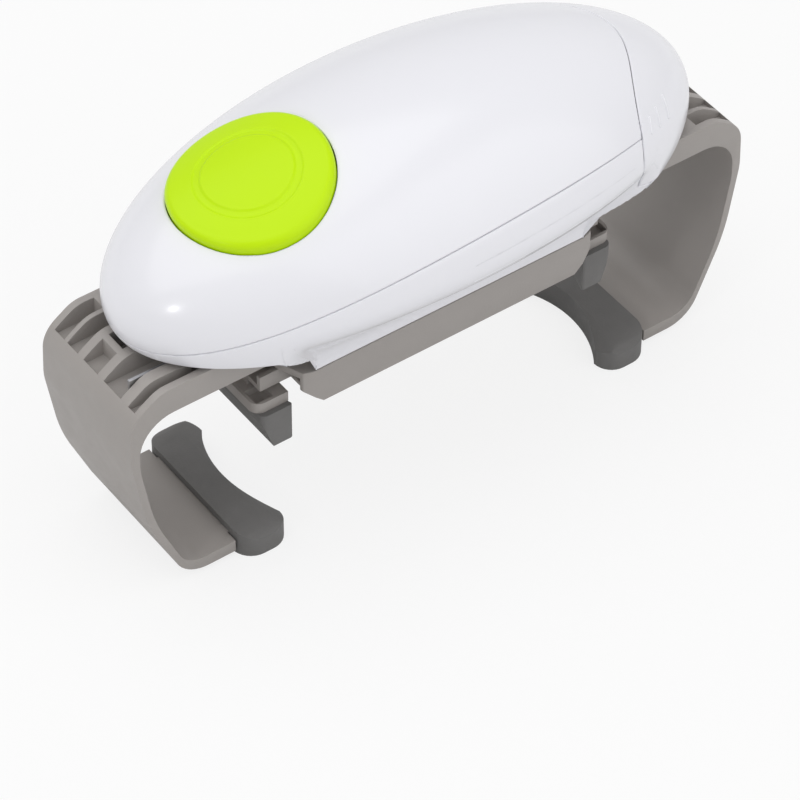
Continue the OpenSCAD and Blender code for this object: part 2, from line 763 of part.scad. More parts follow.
first_turn = mesh_turn(first_dir, 0, second_n, first_pinion_n);
second_turn = mesh_turn(second_dir, 0, out_n, out_pinion_n);

module first_gear() {
  color(nylon) deck() translate([first_at[0], first_at[1], 0])
    stage(first_m, first_n, 0, first_z, first_t, second_m, first_pinion_n, first_turn, second_z);
}

module second_gear() {
  color(nylon) deck() translate([second_at[0], second_at[1], 0])
    stage(second_m, second_n, 0, second_z, wheel_t, out_m, out_pinion_n, second_turn, gear_z);
}

module axle(at) {
  color(steel) deck() translate([at[0], at[1], base_z + 0.45])
    cylinder(d = axle_d, h = cap_z + plate_t - base_z - 0.9, $fn = 24);
}

module first_axle() {
  axle(first_at);
}

module second_axle() {
  axle(second_at);
}

module output_gear() {
  color(nylon) deck() difference() {
    translate([0, 0, gear_z]) gear(out_m, out_n, out_t);
    translate([0, 0, gear_z - 1]) cylinder(d = shaft_d + 0.02, h = 8);
    for (a = [0:60:300])
      rotate([0, 0, a]) translate([9.8, 0, gear_z - 1]) cylinder(d = 5, h = 8);
  }
}

shaft_top_z = gear_z + out_t + 0.45;
shaft_low_z = slide_z - 0.1;

module drive_shaft() {
  color(steel) deck() difference() {
    translate([0, 0, shaft_low_z]) cylinder(d = shaft_d, h = shaft_top_z - shaft_low_z);
    translate([0, 0, shaft_low_z - 1]) cylinder(d = 3.1, h = 11, $fn = 24);
    translate([0, 0, shaft_top_z - 0.4]) difference() {
      cylinder(d = shaft_d + 2, h = 0.2);
      cylinder(d = shaft_d - 1.6, h = 0.2);
    }
  }
}

module shaft_clip() {
  color(steel) deck() translate([0, 0, shaft_top_z - 0.4]) difference() {
    cylinder(d = shaft_d + 3, h = 0.18);
    translate([0, 0, -1]) cylinder(d = shaft_d - 1.5, h = 3);
    translate([0, -1.8, -1]) cube([shaft_d, 3.6, 3]);
  }
}

module arm_pinion() {
  color(nylon) deck() translate([0, 0, tongue_z]) difference() {
    gear(rack_m, arm_pinion_n, tongue_t);
    translate([0, 0, -1]) cylinder(d = shaft_d + 2 * run_fit, h = 8);
  }
}

// ---------- jar arms ----------

// side outline of the left arm with distances from the drive axis as positive X
arm_band = 2.3;
function arm_outline() =
  let (r = arm_reach)
  rounded([
    [45, arm_floor_z, 0], [r - 2.1, arm_floor_z, 10], [r - 1.7, -7, 24], [r - 5, -27, 60],
    [r - 13.6, -47.2, 8], [lip_x - 3.6, -47.2, 0],
    [lip_x - 3.6, -50.8, 0], [r - 13.2, -50.8, 10], [r - 2.7, -26, 60], [r + 0.8, -4, 22],
    [r + 0.2, 9.6, 9], [r - 8.5, arm_wall_z, 8], [70, arm_wall_z, 0], [45, arm_wall_z, 0]
  ]);

arm_wall = 2;
plate_top_z = arm_floor_z + plate_t;
rack_y = rack_m * arm_pinion_n / 2;
lip_tongue_w = 32;
// pockets in the arm's shoulder: [y from, y to, inner x, outer x], distances from the drive axis
function arm_pockets() =
  let (o = arm_reach - 2.2, i = arm_w / 2 - arm_wall)
  [
    [13.2, i, arm_reach - 13.5, o], [7.3, 11.9, arm_reach - 16, o],
    [-1.4, 4.8, arm_reach - 7.9, o], [-1.4, 4.8, arm_reach - 18, arm_reach - 9.6],
    [-11.5, -4.1, arm_reach - 20, o], [-i, -14.7, arm_reach - 24, o]
  ];

module arm() {
  side = arm_w / 2 - arm_wall;
  channel_end = arm_reach - 20.4;
  mirror([1, 0, 0]) difference() {
    union() {
      difference() {
        across(arm_w) polygon(arm_outline());
        // open channel between the arm's side walls
        box(40, channel_end, -side, side, plate_top_z, arm_wall_z + 1);
        for (p = arm_pockets())
          box(p[2], p[3], p[0], p[1], plate_top_z, arm_wall_z + 1);
        // the lip narrows to a tongue inside the pad
        for (s = [-1, 1])
          translate([lip_x - 4.8, s * (arm_w + lip_tongue_w) / 4, -49]) cube([10.6, (arm_w - lip_tongue_w) / 2 + 0.2, 6], center = true);
      }
      // rack tongue
      box(-12, channel_end + 1, rack_y + 1.25 * rack_m, 14, tongue_z, tongue_z + tongue_t);
      box(45, channel_end + 1, rack_y + 1.25 * rack_m, 14, plate_top_z - 0.5, tongue_z + 0.5);
      translate([0, rack_y + 1.25 * rack_m, tongue_z]) rack_teeth(rack_m, -12, 36, tongue_t);
    }
    // relief where the other arm's tongue runs
    box(40, channel_end - 8, -15, -rack_y + 1.6 * rack_m, plate_top_z, arm_wall_z + 1);
  }
}

module left_arm() {
  color(warm_grey) deck() arm();
}

module right_arm() {
  color(warm_grey) deck() rotate([0, 0, 180]) arm();
}

// steel wear strip standing in the arm's long pocket
module arm_strip() {
  mirror([1, 0, 0]) box(arm_reach - 19.6, arm_reach - 5, -11.2, -10.4, plate_top_z, arm_wall_z - 0.6);
}

module arm_strips_left() {
  color(steel) deck() arm_strip();
}

module arm_strips_right() {
  color(steel) deck() rotate([0, 0, 180]) arm_strip();
}

// jar pad with a hollow gripping face and a crowned top, slipped over the lip's tongue
pad_face_x = lip_x - 8.6;
pad_edge_h = 5.2;
pad_flat_l = 22;
module jar_pad() {
  end_x = pad_face_x - 5.6;
  back_x = lip_x + 0.2;
  bottom = -deck_h;
  top = bottom + jar_pad_h;
  drop = jar_pad_h - pad_edge_h;
  half = jar_pad_l / 2;
  // crown along the pad, a quarter wave at each end
  along = [for (i = [-10:10]) let (y = half * i / 10, q = max(0, abs(y) - pad_flat_l / 2) / (half - pad_flat_l / 2))
    [y, top - drop * (1 - sqrt(1 - 0.98 * q * q))]];
  // and across it, falling towards the jar
  width = back_x - end_x;
  over = [for (i = [0:10]) let (q = i / 10) [end_x + width * q, top - drop * pow(1 - q, 3) - (q > 0.95 ? 0.3 : 0)]];
  mirror([1, 0, 0]) difference() {
    intersection() {
      translate([0, 0, bottom]) linear_extrude(jar_pad_h) difference() {
        polygon(rounded([
          [end_x, -half, 5.5], [back_x, -half, 6], [back_x, half, 6], [end_x, half, 5.5]], 8));
        translate([pad_face_x - jar_r, 0]) circle(r = jar_r, $fn = 96);
      }
      translate([end_x - 1, 0, 0]) rotate([90, 0, 90]) linear_extrude(width + 2)
        polygon(concat([[half + 0.1, bottom - 1], [-half - 0.1, bottom - 1], [-half - 0.1, along[0][1]]],
          along, [[half + 0.1, along[20][1]]]));
      across(jar_pad_l + 2) polygon(concat([[back_x + 0.1, bottom - 1], [end_x - 0.1, bottom - 1],
        [end_x - 0.1, over[0][1]]], over, [[back_x + 0.1, over[10][1]]]));
    }
    box(lip_x - 3.7, lip_x + 1, -lip_tongue_w / 2 - 0.1, lip_tongue_w / 2 + 0.1, -50.9, -47.1);
  }
}

module left_jar_pad() {
  color(rubber_grey) deck() jar_pad();
}

module right_jar_pad() {
  color(rubber_grey) deck() rotate([0, 0, 180]) jar_pad();
}

// ---------- lid carriage ----------

function carriage_plan() = [
  [-keel_l / 2, -keel_w / 2], [keel_l / 2, -keel_w / 2], [44, 1 - keel_w / 2], [carriage_end, -13],
  [carriage_end, 13], [44, keel_w / 2 - 1], [keel_l / 2, keel_w / 2], [-keel_l / 2, keel_w / 2],
  [-44, keel_w / 2 - 1], [-carriage_end, 13], [-carriage_end, -13], [-44, 1 - keel_w / 2]
];
carriage_top_z = -clear;
carriage_screw_at = [[30, 16], [30, -16], [-30, 16], [-30, -16]];

module lid_carriage() {
  inner = keel_w / 2 - carriage_wall;
  color(warm_grey) deck() difference() {
    union() {
      difference() {
        translate([0, 0, -carriage_h]) linear_extrude(carriage_h + carriage_top_z) polygon(carriage_plan());
        box(-60, 60, -inner, inner, -carriage_h - 1, slide_top_z + clear);
        // the ends of the side walls slant in at the bottom
        for (s = [-1, 1])
          across(60) polygon([[s * 44.5, -6], [s * 50, -6], [s * 50, -13], [s * 38.2, -carriage_h - 0.4]]);
      }
      translate([0, 0, carriage_top_z - 1]) cylinder(d = hub_d, h = 1 + plate_t + 1.2);
      for (p = carriage_screw_at)
        translate([p[0], p[1], rail_z + rail_t]) cylinder(d = 4.6, h = -1 - rail_z - rail_t);
    }
    translate([0, 0, -12]) cylinder(d = shaft_d + 0.02, h = 20);
    for (p = carriage_screw_at)
      translate([p[0], p[1], rail_z]) cylinder(d = 2.1, h = 6);
  }
}

slot_w = 16;
module carriage_plate() {
  inner = keel_w / 2 - carriage_wall - 0.2;
  color(warm_grey) deck() difference() {
    translate([0, 0, rail_z]) linear_extrude(rail_t) polygon([
      [-42, -inner], [42, -inner], [42, inner], [-42, inner]]);
    for (s = [-1, 1])
      box(min(s * 9.3, s * 50), max(s * 9.3, s * 50), -slot_w / 2, slot_w / 2, rail_z - 1, rail_z + 3);
    for (p = carriage_screw_at)
      translate([p[0], p[1], rail_z - 1]) {
        cylinder(d = 2.4, h = 4);
        cylinder(d = 4.1, h = 1.85);
      }
    translate([0, 0, rail_z - 1]) cylinder(d = 3.4, h = 4);
  }
}

module carriage_screws() {
  deck() for (p = carriage_screw_at)
    translate([p[0], p[1], rail_z + 0.85]) mirror([0, 0, 1]) screw(2, 5, 3.8, 0.8);
}

module hub_screw() {
  deck() translate([0, 0, rail_z]) mirror([0, 0, 1]) screw(3, 10, 8, 1.6);
}

lid_rack_y = rack_m * lid_pinion_n / 2;

module lid_pinion() {
  color(nylon) deck() translate([0, 0, slide_z + 0.1]) difference() {
    rotate([0, 0, 90]) gear(rack_m, lid_pinion_n, slide_top_z - slide_z);
    translate([0, 0, -1]) cylinder(d = shaft_d + 2 * run_fit, h = 8);
  }
}

// left lid jaw: slide, neck, foot and rack
slide_in = 40;
slide_out = 52;
foot_out = 55;
module jaw() {
  half = slide_w / 2;
  lane_floor = -5.9;
  rack_z = -5.6;
  root = lid_rack_y + 1.25 * rack_m;
  bar_w = 3.3;
  mirror([1, 0, 0]) {
    box(slide_in, slide_out, -half, half, slide_z, lane_floor);
    for (s = [-1, 1])
      box(slide_in, slide_out, s > 0 ? half - 1.3 : -half, s > 0 ? half : 1.3 - half, slide_z, slide_top_z);
    // rib between the two lanes
    box(slide_in, slide_out - 1.5, -3, 3, slide_z, -3.4);
    // own rack
    box(-9, slide_out, root, root + bar_w, rack_z, slide_top_z);
    box(slide_in, slide_out, root, root + bar_w, lane_floor - 0.5, rack_z + 0.5);
    translate([0, root, rack_z]) rack_teeth(rack_m, -9, 36, slide_top_z - rack_z);
    // neck through the slot of the carriage plate
    box(slide_in, slide_out, -slot_w / 2 + clear, slot_w / 2 - clear, foot_top_z - 0.1, slide_z + 0.1);
    // foot
    difference() {
      translate([0, 0, foot_z]) linear_extrude(foot_top_z - foot_z) polygon(rounded([
        [lid_face_x + 0.4, -lid_pad_l / 2 + 1.5, 0], [foot_out, -lid_pad_l / 2 + 1.5, 3],
        [foot_out, lid_pad_l / 2 - 1.5, 3], [lid_face_x + 0.4, lid_pad_l / 2 - 1.5, 0]]));
      for (s = [-1, 1])
        box(slide_out - 3, foot_out - 1, s > 0 ? 9.5 : -14.5, s > 0 ? 14.5 : -9.5, foot_z + 1.2, 0);
    }
  }
}

module left_jaw() {
  color(warm_grey) deck() jaw();
}

module right_jaw() {
  color(warm_grey) deck() rotate([0, 0, 180]) jaw();
}

lid_pad_r = 55;
lid_pad_hollow = 2.7;
module lid_pad() {
  top = foot_z - 0.05;
  slant = 3.6;
  mirror([1, 0, 0]) difference() {
    translate([0, 0, top - lid_pad_h]) linear_extrude(lid_pad_h) difference() {
      polygon(rounded([
        [lid_face_x, -lid_pad_l / 2, 1], [foot_out - 1, -lid_pad_l / 2, 2],
        [foot_out - 1, lid_pad_l / 2, 2], [lid_face_x, lid_pad_l / 2, 1]]));
      translate([lid_face_x + lid_pad_hollow - lid_pad_r, 0]) circle(r = lid_pad_r, $fn = 120);
    }
    // the back leans in towards the bottom
    across(60) polygon([
      [foot_out - 1 + 0.1, top - 2], [foot_out + 9, top - 2],
      [foot_out + 9, top - lid_pad_h - 1], [foot_out - 1 - slant, top - lid_pad_h - 1]]);
  }
}

module left_lid_pad() {
  color(rubber_grey) deck() lid_pad();
}

module right_lid_pad() {
  color(rubber_grey) deck() rotate([0, 0, 180]) lid_pad();
}

upper_shell();
lower_shell();
battery_cover();
start_button();
button_spring();
tact_switch();
control_board();
board_screws();
shell_screws();
battery_tray();
cell_front();
cell_rear();
negative_contact();
positive_contact();
bridge_contact();
tray_screws();
chassis_plate();
chassis_screws();
gearbox_base();
gearbox_cap();
base_screws();
gearbox_screws();
motor_can();
motor_shaft();
motor_pinion();
motor_screws();
first_gear();
first_axle();
second_gear();
second_axle();
output_gear();
drive_shaft();
shaft_clip();
arm_pinion();
left_arm();
right_arm();
left_jar_pad();
right_jar_pad();
arm_strips_left();
arm_strips_right();
lid_carriage();
carriage_plate();
carriage_screws();
hub_screw();
lid_pinion();
left_jaw();
right_jaw();
left_lid_pad();
right_lid_pad();
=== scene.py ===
import json
import math

import bmesh
import bpy
import numpy as np
from mathutils import Matrix, Vector, geometry
from mathutils.bvhtree import BVHTree
from mathutils.kdtree import KDTree

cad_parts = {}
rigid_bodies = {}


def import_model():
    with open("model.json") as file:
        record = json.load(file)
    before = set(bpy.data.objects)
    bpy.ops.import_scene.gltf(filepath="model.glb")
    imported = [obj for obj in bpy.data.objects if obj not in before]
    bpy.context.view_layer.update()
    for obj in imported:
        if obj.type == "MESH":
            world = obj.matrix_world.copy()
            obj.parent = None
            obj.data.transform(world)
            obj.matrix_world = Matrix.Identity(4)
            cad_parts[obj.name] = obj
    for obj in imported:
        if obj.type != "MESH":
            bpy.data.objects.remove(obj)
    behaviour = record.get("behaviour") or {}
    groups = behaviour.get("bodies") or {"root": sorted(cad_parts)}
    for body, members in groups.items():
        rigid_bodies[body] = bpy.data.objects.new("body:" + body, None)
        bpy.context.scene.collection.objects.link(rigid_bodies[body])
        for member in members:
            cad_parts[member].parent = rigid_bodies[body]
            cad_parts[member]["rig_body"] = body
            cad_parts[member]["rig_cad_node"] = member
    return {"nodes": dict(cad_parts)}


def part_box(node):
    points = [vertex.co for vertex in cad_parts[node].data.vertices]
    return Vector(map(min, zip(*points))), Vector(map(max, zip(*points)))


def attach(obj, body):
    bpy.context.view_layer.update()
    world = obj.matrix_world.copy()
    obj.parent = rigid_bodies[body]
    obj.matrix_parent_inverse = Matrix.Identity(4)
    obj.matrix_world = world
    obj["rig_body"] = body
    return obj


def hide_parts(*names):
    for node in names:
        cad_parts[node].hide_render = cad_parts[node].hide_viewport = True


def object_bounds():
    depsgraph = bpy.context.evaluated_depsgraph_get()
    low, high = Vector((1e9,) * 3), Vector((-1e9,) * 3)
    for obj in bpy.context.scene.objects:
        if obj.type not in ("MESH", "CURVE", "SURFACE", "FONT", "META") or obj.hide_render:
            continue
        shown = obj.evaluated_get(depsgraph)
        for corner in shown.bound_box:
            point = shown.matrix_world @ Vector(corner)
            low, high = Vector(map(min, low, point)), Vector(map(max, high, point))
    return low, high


bl_info = {
    "name": "Jar opener finish",
    "version": (1, 0, 0),
    "blender": (4, 5, 0),
    "location": "View3D > Sidebar > Jar opener",
    "description": "Finished surfaces for an electric jar opener, built on its packed frame",
    "category": "Object",
}

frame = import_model()
cad_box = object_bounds()
MM = 0.001


# ---------- settings ----------

def metres(name, description, default):
    return bpy.props.FloatProperty(
        name=name, description=description, default=default, unit="LENGTH")


def watts(name, description, default):
    return bpy.props.FloatProperty(
        name=name, description=description, default=default, unit="POWER")


def tint(name, description, default):
    return bpy.props.FloatVectorProperty(
        name=name, description=description, default=default, subtype="COLOR")


class BodySettings(bpy.types.PropertyGroup):
    """Sizes and colour of the egg-shaped body."""
    half_length: metres("Half length", "Half the body's length", 0.084)
    half_width: metres("Half width", "Half the body's width", 0.0409)
    mid_height: metres("Widest level", "Height of the widest level above the table", 0.0755)
    crown: metres("Crown", "Height of the top above the widest level", 0.032)
    deck_height: metres("Deck height", "Height of the carriage's deck above the table", 0.0525)
    rim_height: metres("Rim height", "Height of the ends' underside above the deck", 0.017)
    keel_half_length: metres("Keel half length", "Half the keel's length", 0.041)
    keel_half_width: metres("Keel half width", "Half the keel's width", 0.0213)
    wall: metres("Wall", "Wall thickness of the shells", 0.002)
    gap: metres("Seam gap", "Gap between the shells at their seams", 0.0003)
    parting_gap: metres("Parting gap", "Gap between the upper and lower shell", 0.00018)
    edge_round: metres("Edge radius", "Rounding of the shells' edges", 0.0003)
    spacing: metres("Mesh spacing", "Distance between the dome's points", 0.0018)
    colour: tint("Colour", "White of the shells", (0.79, 0.79, 0.83))


class ButtonSettings(bpy.types.PropertyGroup):
    """Sizes and colour of the start button."""
    diameter: metres("Diameter", "Diameter of the button", 0.0414)
    bore: metres("Hole", "Diameter of the button's hole", 0.0421)
    distance: metres("Distance", "Distance of the button from the drive axis", 0.045)
    lean: bpy.props.FloatProperty(
        name="Lean", description="Lean of the button", default=math.radians(14), subtype="ANGLE")
    proud: metres("Proud", "How far the button stands out", 0.002)
    edge_round: metres("Edge radius", "Rounding of the button's rim", 0.0016)
    groove_radius: metres("Groove radius", "Radius of the finger ring", 0.0125)
    groove_width: metres("Groove width", "Width of the finger ring", 0.0026)
    groove_depth: metres("Groove depth", "Depth of the finger ring", 0.00035)
    colour: tint("Colour", "Green of the button", (0.52, 0.79, 0.0))


class GripSettings(bpy.types.PropertyGroup):
    """Edges and colours of the arms, jaws and pads."""
    arm_edge: metres("Arm edges", "Rounding of the arms' edges", 0.0006)
    jaw_edge: metres("Jaw edges", "Rounding of the jaws' and carriage's edges", 0.00035)
    pad_edge: metres("Pad edges", "Rounding of the rubber pads' edges", 0.001)
    arm_colour: tint("Plastic", "Warm grey of the arms and jaws", (0.335, 0.312, 0.296))
    pad_colour: tint("Rubber", "Dark grey of the pads", (0.155, 0.152, 0.149))


class StageSettings(bpy.types.PropertyGroup):
    """Light and floor."""
    key: watts("Key light", "Power of the key light", 34.0)
    fill: watts("Fill light", "Power of the fill light", 17.0)
    spark: watts("Spot light", "Power of the small light whose image shows by the button", 1.3)
    sky: bpy.props.FloatProperty(
        name="Sky", description="Strength of the light from all around", default=0.55)


def settings():
    return bpy.context.scene.jar_opener


class JarOpenerSettings(bpy.types.PropertyGroup):
    """All settings of the jar opener."""
    body: bpy.props.PointerProperty(type=BodySettings)
    button: bpy.props.PointerProperty(type=ButtonSettings)
    grip: bpy.props.PointerProperty(type=GripSettings)
    stage: bpy.props.PointerProperty(type=StageSettings)


# ---------- materials ----------

COAT_ROUGHNESS = 0.08
GLOSS_SCALE = 2.3   # the gloss varies this many times finer than the mottling


def noise(nodes, links, coords, scale, detail=3.0, rough=0.55):
    n = nodes.new("ShaderNodeTexNoise")
    n.inputs["Scale"].default_value = scale
    n.inputs["Detail"].default_value = detail
    n.inputs["Roughness"].default_value = rough
    links.new(coords, n.inputs["Vector"])
    return n.outputs["Fac"]


def span(nodes, links, value, low, high, at=(0.3, 0.7)):
    m = nodes.new("ShaderNodeMapRange")
    m.inputs["From Min"].default_value = at[0]
    m.inputs["From Max"].default_value = at[1]
    m.inputs["To Min"].default_value = low
    m.inputs["To Max"].default_value = high
    links.new(value, m.inputs["Value"])
    return m.outputs["Result"]


def blend_colours(nodes, links, factor, first, second):
    m = nodes.new("ShaderNodeMix")
    m.data_type = "RGBA"
    m.inputs["A"].default_value = (*first, 1)
    m.inputs["B"].default_value = (*second, 1)
    links.new(factor, m.inputs["Factor"])
    return m.outputs["Result"]


def finish_of(name, colour, rough, grain, depth, mottle=0.03, mottle_scale=60.0,
              rough_swing=0.04, metal=0.0, coat=0.0, sheen=0.0, stretch=(1, 1, 1),
              specular=0.5):
    """A moulded or metal finish: faint mottling, uneven gloss and a fine surface grain."""
    mat = bpy.data.materials.get(name)
    if mat:
        return mat
    mat = bpy.data.materials.new(name)
    mat.use_nodes = True
    mat.diffuse_color = (*colour, 1)
    nodes, links = mat.node_tree.nodes, mat.node_tree.links
    shader = nodes["Principled BSDF"]
    shader.inputs["Metallic"].default_value = metal
    shader.inputs["Coat Weight"].default_value = coat
    shader.inputs["Coat Roughness"].default_value = COAT_ROUGHNESS
    shader.inputs["Sheen Weight"].default_value = sheen
    shader.inputs["Specular IOR Level"].default_value = specular
    coords = nodes.new("ShaderNodeTexCoord").outputs["Object"]
    turn = nodes.new("ShaderNodeMapping")
    turn.inputs["Scale"].default_value = stretch
    links.new(coords, turn.inputs["Vector"])
    place = turn.outputs["Vector"]
    cloudy = noise(nodes, links, place, mottle_scale, 4.0)
    low = [c * (1 - mottle) for c in colour]
    high = [min(1.0, c * (1 + mottle)) for c in colour]
    links.new(blend_colours(nodes, links, cloudy, low, high), shader.inputs["Base Color"])
    links.new(span(nodes, links, noise(nodes, links, place, mottle_scale * GLOSS_SCALE, 3.0),
                   rough - rough_swing, rough + rough_swing), shader.inputs["Roughness"])
    bump = nodes.new("ShaderNodeBump")
    bump.inputs["Strength"].default_value = 1.0
    bump.inputs["Distance"].default_value = depth
    links.new(noise(nodes, links, place, grain, 2.0), bump.inputs["Height"])
    links.new(bump.outputs["Normal"], shader.inputs["Normal"])
    return mat


def white_shell():
    return finish_of("gloss_white", tuple(settings().body.colour), 0.22, 1400, 0.000001,
                     mottle=0.004, rough_swing=0.015, coat=0.15)


def lime_gloss():
    return finish_of("lime_gloss", tuple(settings().button.colour), 0.34, 1400, 0.000001,
                     mottle=0.006, rough_swing=0.015, specular=0.22)


def warm_grey():
    return finish_of("warm_grey_satin", tuple(settings().grip.arm_colour), 0.46, 2600, 0.00002,
                     mottle=0.03, mottle_scale=90, rough_swing=0.05)


def pad_rubber():
    return finish_of("matte_rubber", tuple(settings().grip.pad_colour), 0.72, 1800, 0.00004,
                     mottle=0.08, mottle_scale=140, rough_swing=0.08, sheen=0.08, specular=0.35)


def black_plastic():
    return finish_of("black_satin", (0.022, 0.022, 0.024), 0.48, 2400, 0.00002, mottle=0.1)


def nylon():
    return finish_of("natural_nylon", (0.72, 0.70, 0.62), 0.42, 1600, 0.000012, mottle=0.03)


def rolled_steel():
    return finish_of("rolled_steel", (0.56, 0.565, 0.58), 0.34, 900, 0.000008, metal=1.0,
                     stretch=(1, 9, 9), mottle=0.05, rough_swing=0.07)


def ground_steel():
    return finish_of("ground_steel", (0.62, 0.625, 0.64), 0.24, 1500, 0.000004, metal=1.0,
                     stretch=(1, 1, 12), mottle=0.04, rough_swing=0.05)


def zinc_plate():
    return finish_of("zinc_plate", (0.60, 0.61, 0.62), 0.3, 1400, 0.000006, metal=1.0,
                     mottle=0.07)


def nickel_plate():
    return finish_of("nickel_plate", (0.72, 0.69, 0.63), 0.2, 1400, 0.000004, metal=1.0,
                     mottle=0.04)


def turned_brass():
    return finish_of("turned_brass", (0.72, 0.50, 0.18), 0.28, 1800, 0.000005, metal=1.0,
                     mottle=0.05)


def striped(name, along, bands, rough):
    """A finish whose colour changes in bands along one axis. Each band is its place in metres
    and its colour."""
    mat = finish_of(name, bands[0][1], rough, 1500, 0.000006, mottle=0.03)
    nodes, links = mat.node_tree.nodes, mat.node_tree.links
    shader = nodes["Principled BSDF"]
    if "cell_bands" in mat:
        return mat
    mat["cell_bands"] = True
    split = nodes.new("ShaderNodeSeparateXYZ")
    links.new(nodes["Texture Coordinate"].outputs["Object"], split.inputs["Vector"])
    low, high = bands[0][0], bands[-1][0]
    place = span(nodes, links, split.outputs["XYZ".index(along)], 0.0, 1.0, (low, high))
    ramp = nodes.new("ShaderNodeValToRGB")
    ramp.color_ramp.interpolation = "CONSTANT"
    while len(ramp.color_ramp.elements) < len(bands):
        ramp.color_ramp.elements.new(0.5)
    for element, (where, colour) in zip(ramp.color_ramp.elements, bands):
        element.position = (where - low) / (high - low)
        element.color = (*colour, 1)
    links.new(place, ramp.inputs["Fac"])
    links.new(ramp.outputs["Color"], shader.inputs["Base Color"])
    return mat


def circuit_green():
    """Solder mask over a pattern of tracks."""
    mat = finish_of("circuit_green", (0.012, 0.11, 0.035), 0.36, 900, 0.00001, mottle=0.05)
    nodes, links = mat.node_tree.nodes, mat.node_tree.links
    if "tracks" in nodes:
        return mat
    tracks = nodes.new("ShaderNodeTexBrick")
    tracks.name = "tracks"
    tracks.inputs["Scale"].default_value = 420.0
    tracks.inputs["Mortar Size"].default_value = 0.035
    tracks.inputs["Color1"].default_value = (0.010, 0.095, 0.03, 1)
    tracks.inputs["Color2"].default_value = (0.014, 0.125, 0.045, 1)
    tracks.inputs["Mortar"].default_value = (0.03, 0.22, 0.08, 1)
    links.new(nodes["Texture Coordinate"].outputs["Object"], tracks.inputs["Vector"])
    links.new(tracks.outputs["Color"], nodes["Principled BSDF"].inputs["Base Color"])
    return mat


def paint(obj, mat):
    obj.data.materials.clear()
    obj.data.materials.append(mat)


# ---------- mesh helpers ----------

SAME_PLACE = 2e-6   # points closer than this are one
FLAT = 0.8          # degrees under which two faces are one

def in_scene(name, data):
    """A new object of the scene."""
    obj = bpy.data.objects.new(name, data)
    bpy.context.scene.collection.objects.link(obj)
    return obj


def add_object(name, verts, faces, mat):
    mesh = bpy.data.meshes.new(name)
    mesh.from_pydata([tuple(v) for v in verts], [], [tuple(int(i) for i in f) for f in faces])
    mesh.validate()
    obj = in_scene(name, mesh)
    paint(obj, mat)
    return obj


def smooth_by_angle(obj, degrees=32.0):
    obj.data.shade_smooth()
    obj.data.set_sharp_from_angle(angle=math.radians(degrees))


def finish_piece(obj, body, slot, *nodes):
    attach(obj, body)
    if nodes:
        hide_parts(*nodes)


def apply_modifiers(obj):
    """Turns the evaluated object into a plain mesh."""
    bpy.context.view_layer.update()
    graph = bpy.context.evaluated_depsgraph_get()
    mesh = bpy.data.meshes.new_from_object(obj.evaluated_get(graph))
    obj.modifiers.clear()
    old = obj.data
    obj.data = mesh
    mesh.name = obj.name
    if old.users == 0:
        bpy.data.meshes.remove(old)
    return obj


def merged_copy(node, name):
    """A copy of a CAD node with its loose triangles merged into whole faces."""
    obj = frame["nodes"][node].copy()
    obj.data = obj.data.copy()
    obj.name = name
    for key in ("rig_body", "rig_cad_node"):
        if key in obj:
            del obj[key]
    obj.parent = None
    bpy.context.scene.collection.objects.link(obj)
    bm = bmesh.new()
    bm.from_mesh(obj.data)
    bmesh.ops.remove_doubles(bm, verts=bm.verts, dist=SAME_PLACE)
    bmesh.ops.dissolve_limit(bm, angle_limit=math.radians(FLAT), verts=bm.verts, edges=bm.edges)
    bm.to_mesh(obj.data)
    bm.free()
    return obj


def rounded_copy(node, name, mat, width, segments=3, angle=34.0):
    """The CAD node's form with its hard edges rounded."""
    obj = merged_copy(node, name)
    paint(obj, mat)
    bevel = obj.modifiers.new("Round", "BEVEL")
    bevel.width = width
    bevel.segments = segments
    bevel.limit_method = "ANGLE"
    bevel.angle_limit = math.radians(angle)
    bevel.use_clamp_overlap = True
    bevel.miter_outer = "MITER_ARC"
    apply_modifiers(obj)
    smooth_by_angle(obj, 36.0)
    return obj


def rounded_piece(node, name, body, slot, mat, width, segments=3):
    """Stands the rounded copy in for its CAD node."""
    finish_piece(rounded_copy(node, name, mat, width, segments), body, slot, node)


def tree_of(points):
    """A search tree that finds the nearest of the points."""
    tree = KDTree(len(points))
    for i, p in enumerate(points):
        tree.insert(p, i)
    tree.balance()
    return tree


def join(obj, *others):
    """Adds the others' meshes to obj."""
    bm = bmesh.new()
    bm.from_mesh(obj.data)
    for other in others:
        bm.from_mesh(other.data)
        mesh = other.data
        bpy.data.objects.remove(other)
        bpy.data.meshes.remove(mesh)
    bm.to_mesh(obj.data)
    bm.free()
    return obj


# ---------- the body's shape ----------

def smoothstep(x):
    x = np.clip(x, 0, 1)
    return x * x * (3 - 2 * x)


ARCH_RISE = 0.0135   # height of the parting line's top above the widest level
ARCH_X = 0.012       # where that top is
ARCH_BEND = 1.9      # how fast the line falls away from it


def parting_height(x):
    """Height of the parting line above the table at x."""
    return settings().body.mid_height + ARCH_RISE - ARCH_BEND * (x - ARCH_X) ** 2


def parting_angle(phi):
    """Elevation of the parting line on the dome at azimuth phi."""
    b = settings().body
    psi = np.full_like(phi, 0.3)
    for _ in range(30):
        x = b.half_length * np.cos(psi) * np.cos(phi)
        psi = np.arcsin(np.clip((parting_height(x) - b.mid_height) / b.crown, -0.99, 0.99))
    return psi


